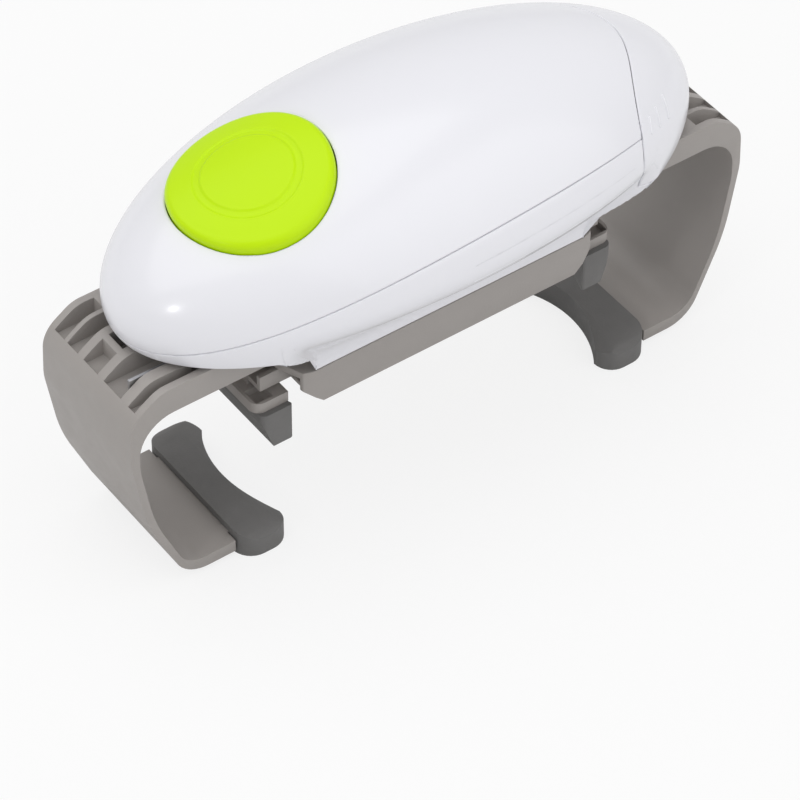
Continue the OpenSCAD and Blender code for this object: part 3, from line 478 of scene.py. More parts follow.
UP = np.array([0, 0, 1.0])
KEEL_FROM, KEEL_TO = 46, 53   # azimuths in degrees between which the keel's corner turns
SEAM = [(50, 32), (51.5, 28), (53.8, 23.4), (56.3, 18.2), (59.4, 13), (62.2, 6.5), (63.6, 0)]
SEAM_HALF_WIDTH = 0.0335      # past this the seam keeps its x
SEAM_TOP_HALF = 0.030         # half the width that is laid out from above
EDGE_ROWS = np.array([0.12, 0.25, 0.42, 0.9, 1.7]) * MM   # rows of points beside each cut
RING_POINTS, HOLE_POINTS = 300, 150
ROW_STEP = 0.866              # height of a row of triangles of side 1
UPRIGHT_REACH = 0.006         # how far from the hole and the seam their walls stand upright


def seam_x(y):
    """Plan of the battery cover's seam."""
    xs = np.array([p[0] for p in SEAM]) * MM
    ys = np.array([p[1] for p in SEAM]) * MM
    fit = np.polyfit(ys ** 2, xs, 3)
    return np.polyval(fit, np.minimum(np.abs(y), SEAM_HALF_WIDTH) ** 2)


def keel_share(phi):
    """1 on the keel's long sides, 0 at the body's ends."""
    steep = np.degrees(np.arccos(np.abs(np.cos(phi))))
    return smoothstep((steep - KEEL_FROM) / (KEEL_TO - KEEL_FROM))


def body_points(phi, psi, inset=0.0):
    """Points of the body at azimuth phi and elevation psi on its egg, inset by a wall. Below the
    parting line the sides draw in to the keel."""
    b = settings().body
    parting = parting_angle(phi)
    thinning = inset * smoothstep(4 * (psi - parting) / (np.pi / 2 - parting))
    z = b.mid_height + (b.crown - thinning) * np.sin(psi)
    draw = b.mid_height + b.crown * np.sin(parting) / 2 - b.deck_height
    pull = keel_share(phi) * (1 - smoothstep((z - b.deck_height) / draw))
    c, t = math.cos(math.radians(KEEL_TO)), math.sin(math.radians(KEEL_TO))
    cos, sin = np.cos(phi), np.sin(phi)
    keel_x = (b.keel_half_length - inset) * np.sign(cos) * np.minimum(1, np.abs(cos) / c)
    keel_y = (b.keel_half_width - inset) * np.sign(sin) * np.minimum(1, np.abs(sin) / t)
    x = np.cos(psi) * (b.half_length - inset) * np.cos(phi) * (1 - pull) + keel_x * pull
    y = np.cos(psi) * (b.half_width - inset) * np.sin(phi) * (1 - pull) + keel_y * pull
    return np.stack([x, y, z], -1)


def angle_at(z):
    """Elevation on the egg of a height above the table."""
    b = settings().body
    return np.arcsin(np.clip((z - b.mid_height) / b.crown, -1, 1))


def sphere_of(points):
    b = settings().body
    size = np.array([b.half_length, b.half_width, b.crown])
    return (points - np.array([0, 0, b.mid_height])) / size


def on_dome(unit):
    b = settings().body
    return unit * np.array([b.half_length, b.half_width, b.crown]) + np.array([0, 0, b.mid_height])


def angles_of(unit):
    return np.arctan2(unit[:, 1], unit[:, 0]), np.arcsin(np.clip(unit[:, 2], -1, 1))


def to_disk(phi, psi):
    rho = 1 - psi / (np.pi / 2)
    return np.stack([rho * np.cos(phi), rho * np.sin(phi)], -1)


def from_disk(flat):
    return np.arctan2(flat[:, 1], flat[:, 0]), np.pi / 2 * (1 - np.hypot(flat[:, 0], flat[:, 1]))


def dome_normal(points):
    b = settings().body
    n = sphere_of(points) / np.array([b.half_length, b.half_width, b.crown])
    return n / np.linalg.norm(n, axis=1, keepdims=True)


def body_normal(phi, psi):
    step = 1e-4
    across = body_points(phi + step, psi) - body_points(phi - step, psi)
    up = body_points(phi, psi + step) - body_points(phi, psi - step)
    n = np.cross(across, up)
    length = np.linalg.norm(n, axis=1, keepdims=True)
    upper = dome_normal(body_points(phi, psi))
    return np.where((np.cos(psi) > 0.03)[:, None], n / (length + 1e-15), upper)


def button_frame():
    """The button's centre and its three axes, the third pointing out."""
    b, k = settings().body, settings().button
    z = b.mid_height + b.crown * math.sqrt(1 - (k.distance / b.half_length) ** 2)
    c, s = math.cos(k.lean), math.sin(k.lean)
    return np.array([-k.distance, 0, z]), np.array([[c, 0, s], [0, 1, 0], [-s, 0, c]])


def along_to_dome(points, direction, inset=0.0):
    """Moves points along direction onto the upper side of the dome, inset by a wall."""
    b = settings().body
    size = np.array([b.half_length - inset, b.half_width - inset, b.crown - inset])
    p = (points - np.array([0, 0, b.mid_height])) / size
    d = direction / size
    a = (d * d).sum()
    h = (p * d).sum(1)
    c = (p * p).sum(1) - 1
    t = (-h + np.sqrt(np.maximum(h * h - a * c, 0))) / a
    return points + t[:, None] * direction


def from_axis(points):
    """Distance of points from the button's axis."""
    centre, axes = button_frame()
    away = points - centre
    return np.hypot(away @ axes[0], away @ axes[1])


def button_circle(radius, count):
    centre, axes = button_frame()
    t = np.linspace(0, 2 * np.pi, count, endpoint=False)
    ring = centre + radius * (np.cos(t)[:, None] * axes[0] + np.sin(t)[:, None] * axes[1])
    return angles_of(sphere_of(along_to_dome(ring, axes[2])))


def slid_to_x(phi, psi, x, inset=0.0):
    """Azimuth at which the body's surface at elevation psi has the given x."""
    for _ in range(12):
        here = body_points(phi, psi, inset)[:, 0]
        slope = (body_points(phi + 1e-4, psi, inset)[:, 0] - here) / 1e-4
        target = x(phi) if callable(x) else x
        slope = np.where(np.abs(slope) < 1e-4, -1e-4, slope)
        phi = phi + np.clip((target - here) / slope, -0.05, 0.05)
    return phi


def seam_curve(shift):
    """The battery cover's seam, from the rim on one side over the top to the other side."""
    b = settings().body
    y = np.linspace(-SEAM_TOP_HALF, SEAM_TOP_HALF, 80)
    plan = np.stack([seam_x(y) + shift, y, np.full_like(y, 0.1)], -1)
    top = along_to_dome(plan, UP)
    phi, psi = angles_of(sphere_of(top))
    z = np.linspace(b.deck_height + b.rim_height - 2 * b.gap, top[0, 2], 45)[:-1]
    side = angle_at(z)

    def x(at):
        return seam_x(body_points(at, side)[:, 1]) + shift

    right = slid_to_x(np.full_like(z, phi[-1]), side, x)
    return np.concatenate([-right, phi, right[::-1]]), np.concatenate([side, psi, side[::-1]])


def rounding(distance, radius):
    s = np.clip(radius - distance, 0, radius)
    return radius - np.sqrt(radius ** 2 - s ** 2)


def bottom_z(phi):
    """Height of the shells' lower edge: the rim at the ends, the deck at the keel."""
    b = settings().body
    return b.deck_height + b.rim_height * (1 - keel_share(phi))


def cut_lines():
    """The body's parting line, lower edge, rim, button hole and seam with rows of points beside
    them. Returns lists of points on the flat disk and of edges."""
    b, k = settings().body, settings().button
    flat, edges = [], []

    def ring(phi, psi, closed):
        start = sum(len(f) for f in flat)
        flat.append(to_disk(phi, psi))
        n = len(phi)
        edges.extend((start + i, start + (i + 1) % n) for i in range(n if closed else n - 1))

    def rows_beside(phi, psi, way):
        rise = body_points(phi, psi + 0.01) - body_points(phi, psi)
        reach = np.linalg.norm(rise, axis=1) / 0.01
        for s in EDGE_ROWS:
            flat.append(to_disk(phi, psi + way * s / reach))

    corner = np.radians(np.linspace(KEEL_FROM - 1, KEEL_TO + 1, 26))
    phi = np.concatenate([np.linspace(-np.pi, np.pi, RING_POINTS, endpoint=False), corner,
                          -corner, np.pi - corner, corner - np.pi])
    phi = np.unique(np.round(phi, 5))
    parting = parting_angle(phi)
    ring(phi, parting, True)
    rows_beside(phi, parting, 1)
    below = angle_at(body_points(phi, parting)[:, 2] - b.parting_gap)
    ring(phi, below, True)
    rows_beside(phi, below, -1)
    bottom = angle_at(bottom_z(phi))
    ring(phi, bottom, True)
    rows_beside(phi, bottom, 1)
    rim = b.deck_height + b.rim_height
    for side in (-1, 1):
        arc = side * np.radians(np.linspace(KEEL_FROM + 0.01, 56, 30))
        at = np.full_like(arc, float(angle_at(rim)))
        ring(arc, at, False)
        rows_beside(arc, at, 1)
        arc = arc[2:]
        ring(arc, np.full_like(arc, float(angle_at(rim - b.gap))), False)
    ring(*button_circle(k.bore / 2, HOLE_POINTS), True)
    for s in EDGE_ROWS:
        flat.append(to_disk(*button_circle(k.bore / 2 + s, HOLE_POINTS)))
    ring(*seam_curve(0), False)
    ring(*seam_curve(b.gap), False)
    for s in EDGE_ROWS:
        flat.append(to_disk(*seam_curve(-s)))
        flat.append(to_disk(*seam_curve(b.gap + s)))
    return flat, edges


def even_field(kept):
    """An even field of points away from the kept ones, finer at the keel's corners."""
    b = settings().body
    tree = tree_of(body_points(*from_disk(kept)))
    step = b.spacing / b.half_length * 0.62
    field = []
    for low, high, size in ((0, 1.02, step), (1.02, 1.56, step * 1.35), (1.15, 1.56, step * 0.7)):
        rows = []
        for j, v in enumerate(np.arange(-high, high, size * ROW_STEP)):
            u = np.arange(-high, high, size) + (j % 2) * size / 2
            rows.append(np.stack([u, np.full_like(u, v)], -1))
        rows = np.concatenate(rows)
        rho = np.hypot(rows[:, 0], rows[:, 1])
        rows = rows[(rho > low) & (rho <= high)]
        if size < step:
            share = keel_share(from_disk(rows)[0])
            rows = rows[(share > 0.001) & (share < 0.999)]
        field.append(rows)
    field = np.concatenate(field)
    near = np.array([tree.find(p)[2] for p in body_points(*from_disk(field))])
    return field[near > b.spacing * 0.6]


def body_pieces():
    """Cuts the body's skin into its pieces. Returns flat points, triangles and each triangle's
    piece: 1 upper shell, 2 battery cover, 3 lower shell, 0 none of them."""
    b, k = settings().body, settings().button
    flat, edges = cut_lines()
    flat.append(even_field(np.concatenate(flat)))
    points = [Vector(p) for p in np.concatenate(flat)]
    out = geometry.delaunay_2d_cdt(points, edges, [], 0, 1e-7)
    flat = np.array([tuple(v) for v in out[0]])
    tris = np.array([f for f in out[2] if len(f) == 3])
    phi, psi = from_disk(flat[tris].mean(1))
    mid = body_points(phi, psi)
    rim = b.deck_height + b.rim_height
    parting = parting_angle(phi)
    seam = seam_x(mid[:, 1])
    left = mid[:, 0] < seam
    hole = (from_axis(mid) < k.bore / 2) & (mid[:, 0] < 0) & (psi > 0)
    upper = (psi > parting) & left & ~hole
    cover = (mid[:, 0] > seam + b.gap) & (mid[:, 2] > rim)
    top = b.mid_height + b.crown * np.sin(parting) - b.parting_gap
    beside = left | (mid[:, 2] < rim - b.gap)
    lower = (mid[:, 2] < top) & (mid[:, 2] > bottom_z(phi)) & beside
    piece = np.where(upper, 1, np.where(cover, 2, np.where(lower, 3, 0)))
    return flat, tris, piece


def body_piece(name, flat, tris, mat):
    """One shell of the body: outer skin with rounded edges, inner skin and the walls between."""
    b, k = settings().body, settings().button
    used, tris = np.unique(tris, return_inverse=True)
    tris = tris.reshape(-1, 3)
    phi, psi = from_disk(flat[used])
    outer = body_points(phi, psi)
    normal = body_normal(phi, psi)
    a, c, d = outer[tris[:, 0]], outer[tris[:, 1]], outer[tris[:, 2]]
    flip = (np.cross(c - a, d - a) * normal[tris[:, 0]]).sum(1) < 0
    tris[flip] = tris[flip][:, ::-1]
    count = {}
    for t in tris:
        for i in range(3):
            e = (int(t[i]), int(t[(i + 1) % 3]))
            count[tuple(sorted(e))] = None if tuple(sorted(e)) in count else e
    rim = [e for e in count.values() if e]
    first, second = outer[[e[0] for e in rim]], outer[[e[1] for e in rim]]
    tree = tree_of(np.concatenate([first * (1 - f) + second * f
                                   for f in np.linspace(0, 1, 8, endpoint=False)]))
    edge = np.array([tree.find(p)[2] for p in outer])
    inner = body_points(phi, psi, b.wall)
    # the hole's and the seam's walls stand upright
    at_parting = 1 - smoothstep((psi - parting_angle(phi)) / 0.2)
    axes = button_frame()[1]
    near_hole = 1 - smoothstep((from_axis(outer) - k.bore / 2) / UPRIGHT_REACH)
    near_hole = near_hole * (outer[:, 0] < 0) * (psi > 0.4)
    inner += near_hole[:, None] * (along_to_dome(outer, axes[2], b.wall) - inner)
    close = 1 - smoothstep(np.abs(outer[:, 0] - seam_x(outer[:, 1])) / UPRIGHT_REACH)
    close = close * (outer[:, 0] > 0)
    upright = along_to_dome(outer, UP, b.wall)
    inner += (close * (1 - at_parting))[:, None] * (upright - inner)
    level = body_points(slid_to_x(phi, psi, outer[:, 0], b.wall), psi, b.wall)
    level = np.where((close * at_parting > 0)[:, None], level, inner)
    inner += (close * at_parting)[:, None] * (level - inner)
    outer = outer - rounding(edge, b.edge_round)[:, None] * normal
    n = len(outer)
    faces = [tuple(t) for t in tris] + [tuple(n + i for i in t[::-1]) for t in tris]
    faces += [(e[1], e[0], n + e[0], n + e[1]) for e in rim]
    obj = add_object(name, np.concatenate([outer, inner]), faces, mat)
    smooth_by_angle(obj, 40.0)
    return obj


def keep_inner_features(node, skin, mat, move=None):
    """The CAD node's bosses, floors and ledges: what does not lie in the skin's wall. They are
    open where they leave that wall."""
    near_skin = 0.45 * MM
    tree = BVHTree.FromPolygons([v.co for v in skin.data.vertices],
                                [tuple(p.vertices) for p in skin.data.polygons])
    source = frame["nodes"][node].data
    verts = np.array([v.co for v in source.vertices])
    source.calc_loop_triangles()
    faces = []

    def off(p):
        return (tree.find_nearest(Vector(p))[3] or 0) > near_skin

    free = [off(v) for v in verts]
    for t in source.loop_triangles:
        a, b, c = t.vertices
        groups = ([a, b, c], [a, b], [b, c], [a, c])
        if free[a] or free[b] or free[c] or any(off(verts[g].mean(0)) for g in groups):
            faces.append((a, b, c))
    if move is not None:
        verts = move(verts)
    obj = add_object("features", verts, faces, mat)
    bm = bmesh.new()
    bm.from_mesh(obj.data)
    bmesh.ops.remove_doubles(bm, verts=bm.verts, dist=SAME_PLACE)
    bmesh.ops.delete(bm, geom=[v for v in bm.verts if not v.link_faces], context="VERTS")
    bm.to_mesh(obj.data)
    bm.free()
    smooth_by_angle(obj, 32.0)
    return obj


def draw_in_rim(verts):
    """Takes the floors' outline in from the rounded rim."""
    b = settings().body
    rim = b.deck_height + b.rim_height
    psi = np.full(len(verts), float(angle_at(rim)))
    inset_by, at_edge_within, lift = 0.7 * MM, 0.4 * MM, 0.04 * MM
    out = verts.copy()
    low = np.abs(verts[:, 2] - rim) < 1e-5

    def azimuth(points):
        return np.arctan2(points[:, 1] / b.half_width, points[:, 0] / b.half_length)

    phi = azimuth(verts)
    for _ in range(4):
        phi = phi + azimuth(verts) - azimuth(body_points(phi, psi))
    edge = body_points(phi, psi)
    inset = body_points(phi, psi, inset_by)
    at_edge = low & (np.linalg.norm(edge - verts, axis=1) < at_edge_within)
    out[at_edge] = inset[at_edge]
    out[low, 2] += lift
    return out


# ---------- geometry node trees ----------

def new_tree(name, sockets):
    """An empty modifier tree with a geometry input and output and the named inputs."""
    tree = bpy.data.node_groups.new(name, "GeometryNodeTree")
    tree.interface.new_socket("Geometry", in_out="INPUT", socket_type="NodeSocketGeometry")
    tree.interface.new_socket("Geometry", in_out="OUTPUT", socket_type="NodeSocketGeometry")
    for label, kind, value in sockets:
        s = tree.interface.new_socket(label, in_out="INPUT", socket_type=kind)
        if value is not None:
            s.default_value = value
    return tree, tree.nodes.new("NodeGroupInput"), tree.nodes.new("NodeGroupOutput")


def use_tree(obj, tree, values):
    """Adds the tree as a modifier and sets its inputs by their sockets' identifiers."""
    modifier = obj.modifiers.new(tree.name, "NODES")
    modifier.node_group = tree
    for item in tree.interface.items_tree:
        if item.item_type == "SOCKET" and item.in_out == "INPUT" and item.name in values:
            modifier[item.identifier] = values[item.name]
    return modifier


def end_tree(tree, start, out, geometry_socket):
    realize = tree.nodes.new("GeometryNodeRealizeInstances")
    set_material = tree.nodes.new("GeometryNodeSetMaterial")
    tree.links.new(geometry_socket, realize.inputs["Geometry"])
    tree.links.new(realize.outputs["Geometry"], set_material.inputs["Geometry"])
    tree.links.new(start.outputs["Material"], set_material.inputs["Material"])
    tree.links.new(set_material.outputs["Geometry"], out.inputs["Geometry"])


# shares of the screw head's diameter, the last of its height
DOME, SLOT_LENGTH, SLOT_WIDTH, SLOT_LEVEL = 0.62, 0.58, 0.15, 0.95


def screw_tree():
    """Pan-head cross-slot screws standing on points, their heads towards the points' normals."""
    found = bpy.data.node_groups.get("screws_on_points")
    if found:
        return found
    tree, start, out = new_tree("screws_on_points", [
        ("Head diameter", "NodeSocketFloat", 0.005), ("Head height", "NodeSocketFloat", 0.0015),
        ("Shank diameter", "NodeSocketFloat", 0.0025), ("Length", "NodeSocketFloat", 0.008),
        ("Material", "NodeSocketMaterial", None)])
    nodes, links = tree.nodes, tree.links

    def maths(kind, a, b=None):
        n = nodes.new("ShaderNodeMath")
        n.operation = kind
        for i, v in enumerate((a, b)):
            if v is None:
                continue
            if isinstance(v, (int, float)):
                n.inputs[i].default_value = v
            else:
                links.new(v, n.inputs[i])
        return n.outputs[0]

    def cylinder(diameter, depth, sides):
        n = nodes.new("GeometryNodeMeshCylinder")
        n.inputs["Vertices"].default_value = sides
        links.new(maths("MULTIPLY", diameter, 0.5), n.inputs["Radius"])
        links.new(depth, n.inputs["Depth"])
        return n.outputs["Mesh"]

    def moved(mesh, z):
        n = nodes.new("GeometryNodeTransform")
        xyz = nodes.new("ShaderNodeCombineXYZ")
        links.new(z, xyz.inputs["Z"])
        links.new(mesh, n.inputs["Geometry"])
        links.new(xyz.outputs["Vector"], n.inputs["Translation"])
        return n.outputs["Geometry"]

    head_d, head_h = start.outputs["Head diameter"], start.outputs["Head height"]
    cap = nodes.new("GeometryNodeMeshUVSphere")
    cap.inputs["Segments"].default_value = 36
    cap.inputs["Rings"].default_value = 18
    links.new(maths("MULTIPLY", head_d, DOME), cap.inputs["Radius"])
    dome = moved(cap.outputs["Mesh"],
                 maths("SUBTRACT", head_h, maths("MULTIPLY", head_d, DOME)))
    block = moved(cylinder(head_d, head_h, 36), maths("MULTIPLY", head_h, 0.5))
    head = nodes.new("GeometryNodeMeshBoolean")
    head.operation = "INTERSECT"
    links.new(block, head.inputs["Mesh 2"])
    links.new(dome, head.inputs["Mesh 2"])
    slots = []
    for turned in (False, True):
        size = nodes.new("ShaderNodeCombineXYZ")
        long_ = maths("MULTIPLY", head_d, SLOT_LENGTH)
        thin = maths("MULTIPLY", head_d, SLOT_WIDTH)
        links.new(thin if turned else long_, size.inputs["X"])
        links.new(long_ if turned else thin, size.inputs["Y"])
        links.new(head_h, size.inputs["Z"])
        cube = nodes.new("GeometryNodeMeshCube")
        links.new(size.outputs["Vector"], cube.inputs["Size"])
        slots.append(moved(cube.outputs["Mesh"], maths("MULTIPLY", head_h, SLOT_LEVEL)))
    cut = nodes.new("GeometryNodeMeshBoolean")
    cut.operation = "DIFFERENCE"
    links.new(head.outputs["Mesh"], cut.inputs["Mesh 1"])
    for s in slots:
        links.new(s, cut.inputs["Mesh 2"])
    shank = moved(cylinder(start.outputs["Shank diameter"], start.outputs["Length"], 24),
                  maths("MULTIPLY", start.outputs["Length"], -0.5))
    both = nodes.new("GeometryNodeJoinGeometry")
    links.new(cut.outputs["Mesh"], both.inputs["Geometry"])
    links.new(shank, both.inputs["Geometry"])
    stand = nodes.new("GeometryNodeInstanceOnPoints")
    aim = nodes.new("FunctionNodeAlignRotationToVector")
    aim.axis = "Z"
    normal = nodes.new("GeometryNodeInputNormal")
    links.new(normal.outputs["Normal"], aim.inputs["Vector"])
    links.new(start.outputs["Geometry"], stand.inputs["Points"])
    links.new(both.outputs["Geometry"], stand.inputs["Instance"])
    links.new(aim.outputs["Rotation"], stand.inputs["Rotation"])
    end_tree(tree, start, out, stand.outputs["Instances"])
    return tree


def screws(name, places, normal, sizes, mat):
    """Screws with their heads' undersides at the places, turned together to the normal. The
    places are lone points, whose own normals follow their positions, so a screw away from the
    axis leans by that much."""
    head_d, head_h, shank_d, length = (s * MM for s in sizes)
    turn = Vector(normal).normalized().to_track_quat("Z", "Y").to_matrix()
    bm = bmesh.new()
    for p in places:
        bm.verts.new(Vector(p))
    mesh = bpy.data.meshes.new(name)
    bm.to_mesh(mesh)
    bm.free()
    obj = in_scene(name, mesh)
    use_tree(obj, screw_tree(), {"Head diameter": head_d, "Head height": head_h,
                                 "Shank diameter": shank_d, "Length": length, "Material": mat})
    apply_modifiers(obj)
    per = len(obj.data.vertices) // len(places)
    co = np.array([v.co for v in obj.data.vertices])
    for i, p in enumerate(places):
        part = slice(i * per, (i + 1) * per)
        co[part] = (co[part] - np.array(p)) @ np.array(turn).T + np.array(p)
    obj.data.vertices.foreach_set("co", co.astype(np.float32).ravel())
    obj.data.update()
    smooth_by_angle(obj, 34.0)
    return obj


def ribs_tree():
    """Rounded ribs along edges."""
    found = bpy.data.node_groups.get("ribs_on_edges")
    if found:
        return found
    tree, start, out = new_tree("ribs_on_edges", [
        ("Rib radius", "NodeSocketFloat", 0.0004), ("Sides", "NodeSocketInt", 12),
        ("Material", "NodeSocketMaterial", None)])
    nodes, links = tree.nodes, tree.links
    curve = nodes.new("GeometryNodeMeshToCurve")
    profile = nodes.new("GeometryNodeCurvePrimitiveCircle")
    sweep = nodes.new("GeometryNodeCurveToMesh")
    ball = nodes.new("GeometryNodeMeshUVSphere")
    ball.inputs["Segments"].default_value = 12
    ball.inputs["Rings"].default_value = 8
    tips = nodes.new("GeometryNodeInstanceOnPoints")
    both = nodes.new("GeometryNodeJoinGeometry")
    links.new(start.outputs["Geometry"], curve.inputs["Mesh"])
    links.new(start.outputs["Sides"], profile.inputs["Resolution"])
    links.new(start.outputs["Rib radius"], profile.inputs["Radius"])
    links.new(curve.outputs["Curve"], sweep.inputs["Curve"])
    links.new(profile.outputs["Curve"], sweep.inputs["Profile Curve"])
    sweep.inputs["Fill Caps"].default_value = True
    links.new(start.outputs["Rib radius"], ball.inputs["Radius"])
    links.new(start.outputs["Geometry"], tips.inputs["Points"])
    links.new(ball.outputs["Mesh"], tips.inputs["Instance"])
    links.new(sweep.outputs["Mesh"], both.inputs["Geometry"])
    links.new(tips.outputs["Instances"], both.inputs["Geometry"])
    end_tree(tree, start, out, both.outputs["Geometry"])
    return tree


def coil_tree():
    """Round wire wound into an open coil along +Z."""
    found = bpy.data.node_groups.get("wire_coil")
    if found:
        return found
    tree, start, out = new_tree("wire_coil", [
        ("Coil radius", "NodeSocketFloat", 0.006), ("Wire radius", "NodeSocketFloat", 0.00035),
        ("Height", "NodeSocketFloat", 0.018), ("Turns", "NodeSocketFloat", 6.0),
        ("Material", "NodeSocketMaterial", None)])
    nodes, links = tree.nodes, tree.links
    spiral = nodes.new("GeometryNodeCurveSpiral")
    spiral.inputs["Resolution"].default_value = 40
    links.new(start.outputs["Coil radius"], spiral.inputs["Start Radius"])
    links.new(start.outputs["Coil radius"], spiral.inputs["End Radius"])
    links.new(start.outputs["Height"], spiral.inputs["Height"])
    links.new(start.outputs["Turns"], spiral.inputs["Rotations"])
    profile = nodes.new("GeometryNodeCurvePrimitiveCircle")
    profile.inputs["Resolution"].default_value = 12
    links.new(start.outputs["Wire radius"], profile.inputs["Radius"])
    sweep = nodes.new("GeometryNodeCurveToMesh")
    sweep.inputs["Fill Caps"].default_value = True
    links.new(spiral.outputs["Curve"], sweep.inputs["Curve"])
    links.new(profile.outputs["Curve"], sweep.inputs["Profile Curve"])
    end_tree(tree, start, out, sweep.outputs["Mesh"])
    return tree


def coil(name, matrix, radius, wire, height, turns, mat):
    obj = in_scene(name, bpy.data.meshes.new(name))
    use_tree(obj, coil_tree(), {"Coil radius": radius, "Wire radius": wire, "Height": height,
                                "Turns": turns, "Material": mat})
    apply_modifiers(obj)
    obj.data.transform(matrix)
    obj.data.shade_smooth()
    return obj


# ---------- operators ----------

class JAR_OT_body(bpy.types.Operator):
    """Build the white shells and the battery cover with its grip ribs"""
    bl_idname = "jar_opener.body"
    bl_label = "White body"

    def execute(self, context):
        mat = white_shell()
        flat, tris, piece = body_pieces()
        upper = body_piece("body_top", flat, tris[piece == 1], mat)
        join(upper, keep_inner_features("upper_shell", upper, mat))
        finish_piece(upper, "housing", "shell_white", "upper_shell")
        cover = body_piece("cover_skin", flat, tris[piece == 2], mat)
        join(cover, keep_inner_features("battery_cover", cover, mat), self.ribs(mat))
        finish_piece(cover, "cover", "shell_white", "battery_cover")
        lower = body_piece("body_bottom", flat, tris[piece == 3], mat)
        join(lower, keep_inner_features("lower_shell", lower, mat, draw_in_rim))
        finish_piece(lower, "housing", "shell_white", "lower_shell")
        return {"FINISHED"}

    def ribs(self, mat):
        """Three short finger ribs on each side of the cover, lying on its skin."""
        lines = [((56.6, 26.3, 35.6), (55.4, 28.7, 32.7)),
                 ((60.0, 24.3, 35.6), (59.2, 27.2, 31.9)),
                 ((64.2, 21.7, 35.5), (63.6, 25.2, 31.1))]   # in millimetres, the last above the deck
        radius, sunk = 0.42 * MM, 0.12 * MM
        b = settings().body
        verts, edges = [], []
        for side in (-1, 1):
            for start, end in lines:
                first = len(verts)
                for f in np.linspace(0, 1, 9):
                    p = np.array(start) * (1 - f) + np.array(end) * f
                    p = p * np.array([1, side, 1]) * MM + np.array([0, 0, b.deck_height])
                    unit = sphere_of(p[None])
                    unit /= np.linalg.norm(unit, axis=1, keepdims=True)
                    q = on_dome(unit)
                    verts.append(tuple((q - sunk * dome_normal(q))[0]))
                edges += [(first + i, first + i + 1) for i in range(8)]
        mesh = bpy.data.meshes.new("ribs")
        mesh.from_pydata(verts, edges, [])
        obj = in_scene("ribs", mesh)
        use_tree(obj, ribs_tree(), {"Rib radius": radius, "Sides": 12, "Material": mat})
        apply_modifiers(obj)
        obj.data.shade_smooth()
        return obj


class JAR_OT_button(bpy.types.Operator):
    """Build the start button and its return spring"""
    bl_idname = "jar_opener.button"
    bl_label = "Start button"

    def execute(self, context):
        k = settings().button
        centre, axes = button_frame()
        r = k.diameter / 2
        long_r, cross_r = 0.141, 0.045           # the top's bend along and across the body
        side_low, flange_low = -0.01101, -0.0124
        flange_r, inner_r = k.bore / 2 + 0.001, r - 0.0018
        roof, stem_r, stem_low = -0.0008, 0.003, -0.0134

        def top(x, y, up):
            ring = long_r - cross_r + np.sqrt((cross_r + up) ** 2 - y ** 2)
            return -long_r + np.sqrt(ring ** 2 - x ** 2)

        n = 128
        t = np.linspace(0, 2 * np.pi, n, endpoint=False)
        rings = []
        groove_in = k.groove_radius - k.groove_width / 2
        groove_out = k.groove_radius + k.groove_width / 2
        radii = [*np.linspace(0.0015, groove_in - 0.0004, 7),
                 *np.linspace(groove_in - 0.0002, groove_out + 0.0002, 17),
                 *np.linspace(groove_out + 0.0006, r - k.edge_round, 6)]
        for q in radii:
            u = abs(q - k.groove_radius) / (k.groove_width / 2)
            dip = k.groove_depth * (1 - smoothstep(np.array((u - 0.45) / 0.55)))
            rings.append((q, -float(dip)))
        for a in np.linspace(0, 90, 9)[1:]:
            s = math.sin(math.radians(a))
            c = math.cos(math.radians(a))
            rings.append((r - k.edge_round * (1 - s), -k.edge_round * (1 - c)))
        verts = [(0, 0, float(top(np.array(0.0), np.array(0.0), k.proud)))]
        for q, drop in rings:
            x, y = q * np.cos(t), q * np.sin(t)
            z = top(x, y, k.proud) + drop
            verts += list(zip(x, y, z))
        outer = len(rings)
        # side down to the flange, flange, and the hollow inside
        for q, z in ((r, side_low), (flange_r, side_low), (flange_r, flange_low),
                     (inner_r, flange_low)):
            verts += [(q * math.cos(a), q * math.sin(a), z) for a in t]
        inside = [inner_r, inner_r * 0.75, inner_r * 0.5, inner_r * 0.25]
        for q in inside:
            x, y = q * np.cos(t), q * np.sin(t)
            verts += list(zip(x, y, top(x, y, roof)))
        verts.append((0, 0, float(top(np.array(0.0), np.array(0.0), roof))))
        count = outer + 4 + len(inside)
        faces = [(0, 1 + i, 1 + (i + 1) % n) for i in range(n)]
        for j in range(count - 1):
            for i in range(n):
                a, b = 1 + j * n + i, 1 + j * n + (i + 1) % n
                faces.append((a, a + n, b + n, b))
        last = 1 + (count - 1) * n
        faces += [(last + i, len(verts) - 1, last + (i + 1) % n) for i in range(n)]
        stem = len(verts)
        for q, z in ((stem_r, -0.0007), (stem_r, stem_low), (stem_r - 0.0003, -0.0136)):
            verts += [(q * math.cos(a), q * math.sin(a), z) for a in t[::4]]
        m = len(t[::4])
        for j in range(2):
            for i in range(m):
                a, b = stem + j * m + i, stem + j * m + (i + 1) % m
                faces.append((a, a + m, b + m, b))
        faces.append([stem + 2 * m + i for i in range(m - 1, -1, -1)])
        places = np.array(verts) @ axes + centre
        obj = add_object("button_cap", places, faces, lime_gloss())
        smooth_by_angle(obj, 38.0)
        finish_piece(obj, "button", "button_lime", "start_button")
        matrix = Matrix.Translation(Vector(centre)) @ Matrix(axes.T.tolist()).to_4x4()
        spring = coil("button_coil", matrix @ Matrix.Translation((0, 0, -0.01995)), radius=0.006,
                      wire=0.00035, height=0.0177, turns=6.0, mat=ground_steel())
        finish_piece(spring, "housing", "spring_steel", "button_spring")
        return {"FINISHED"}


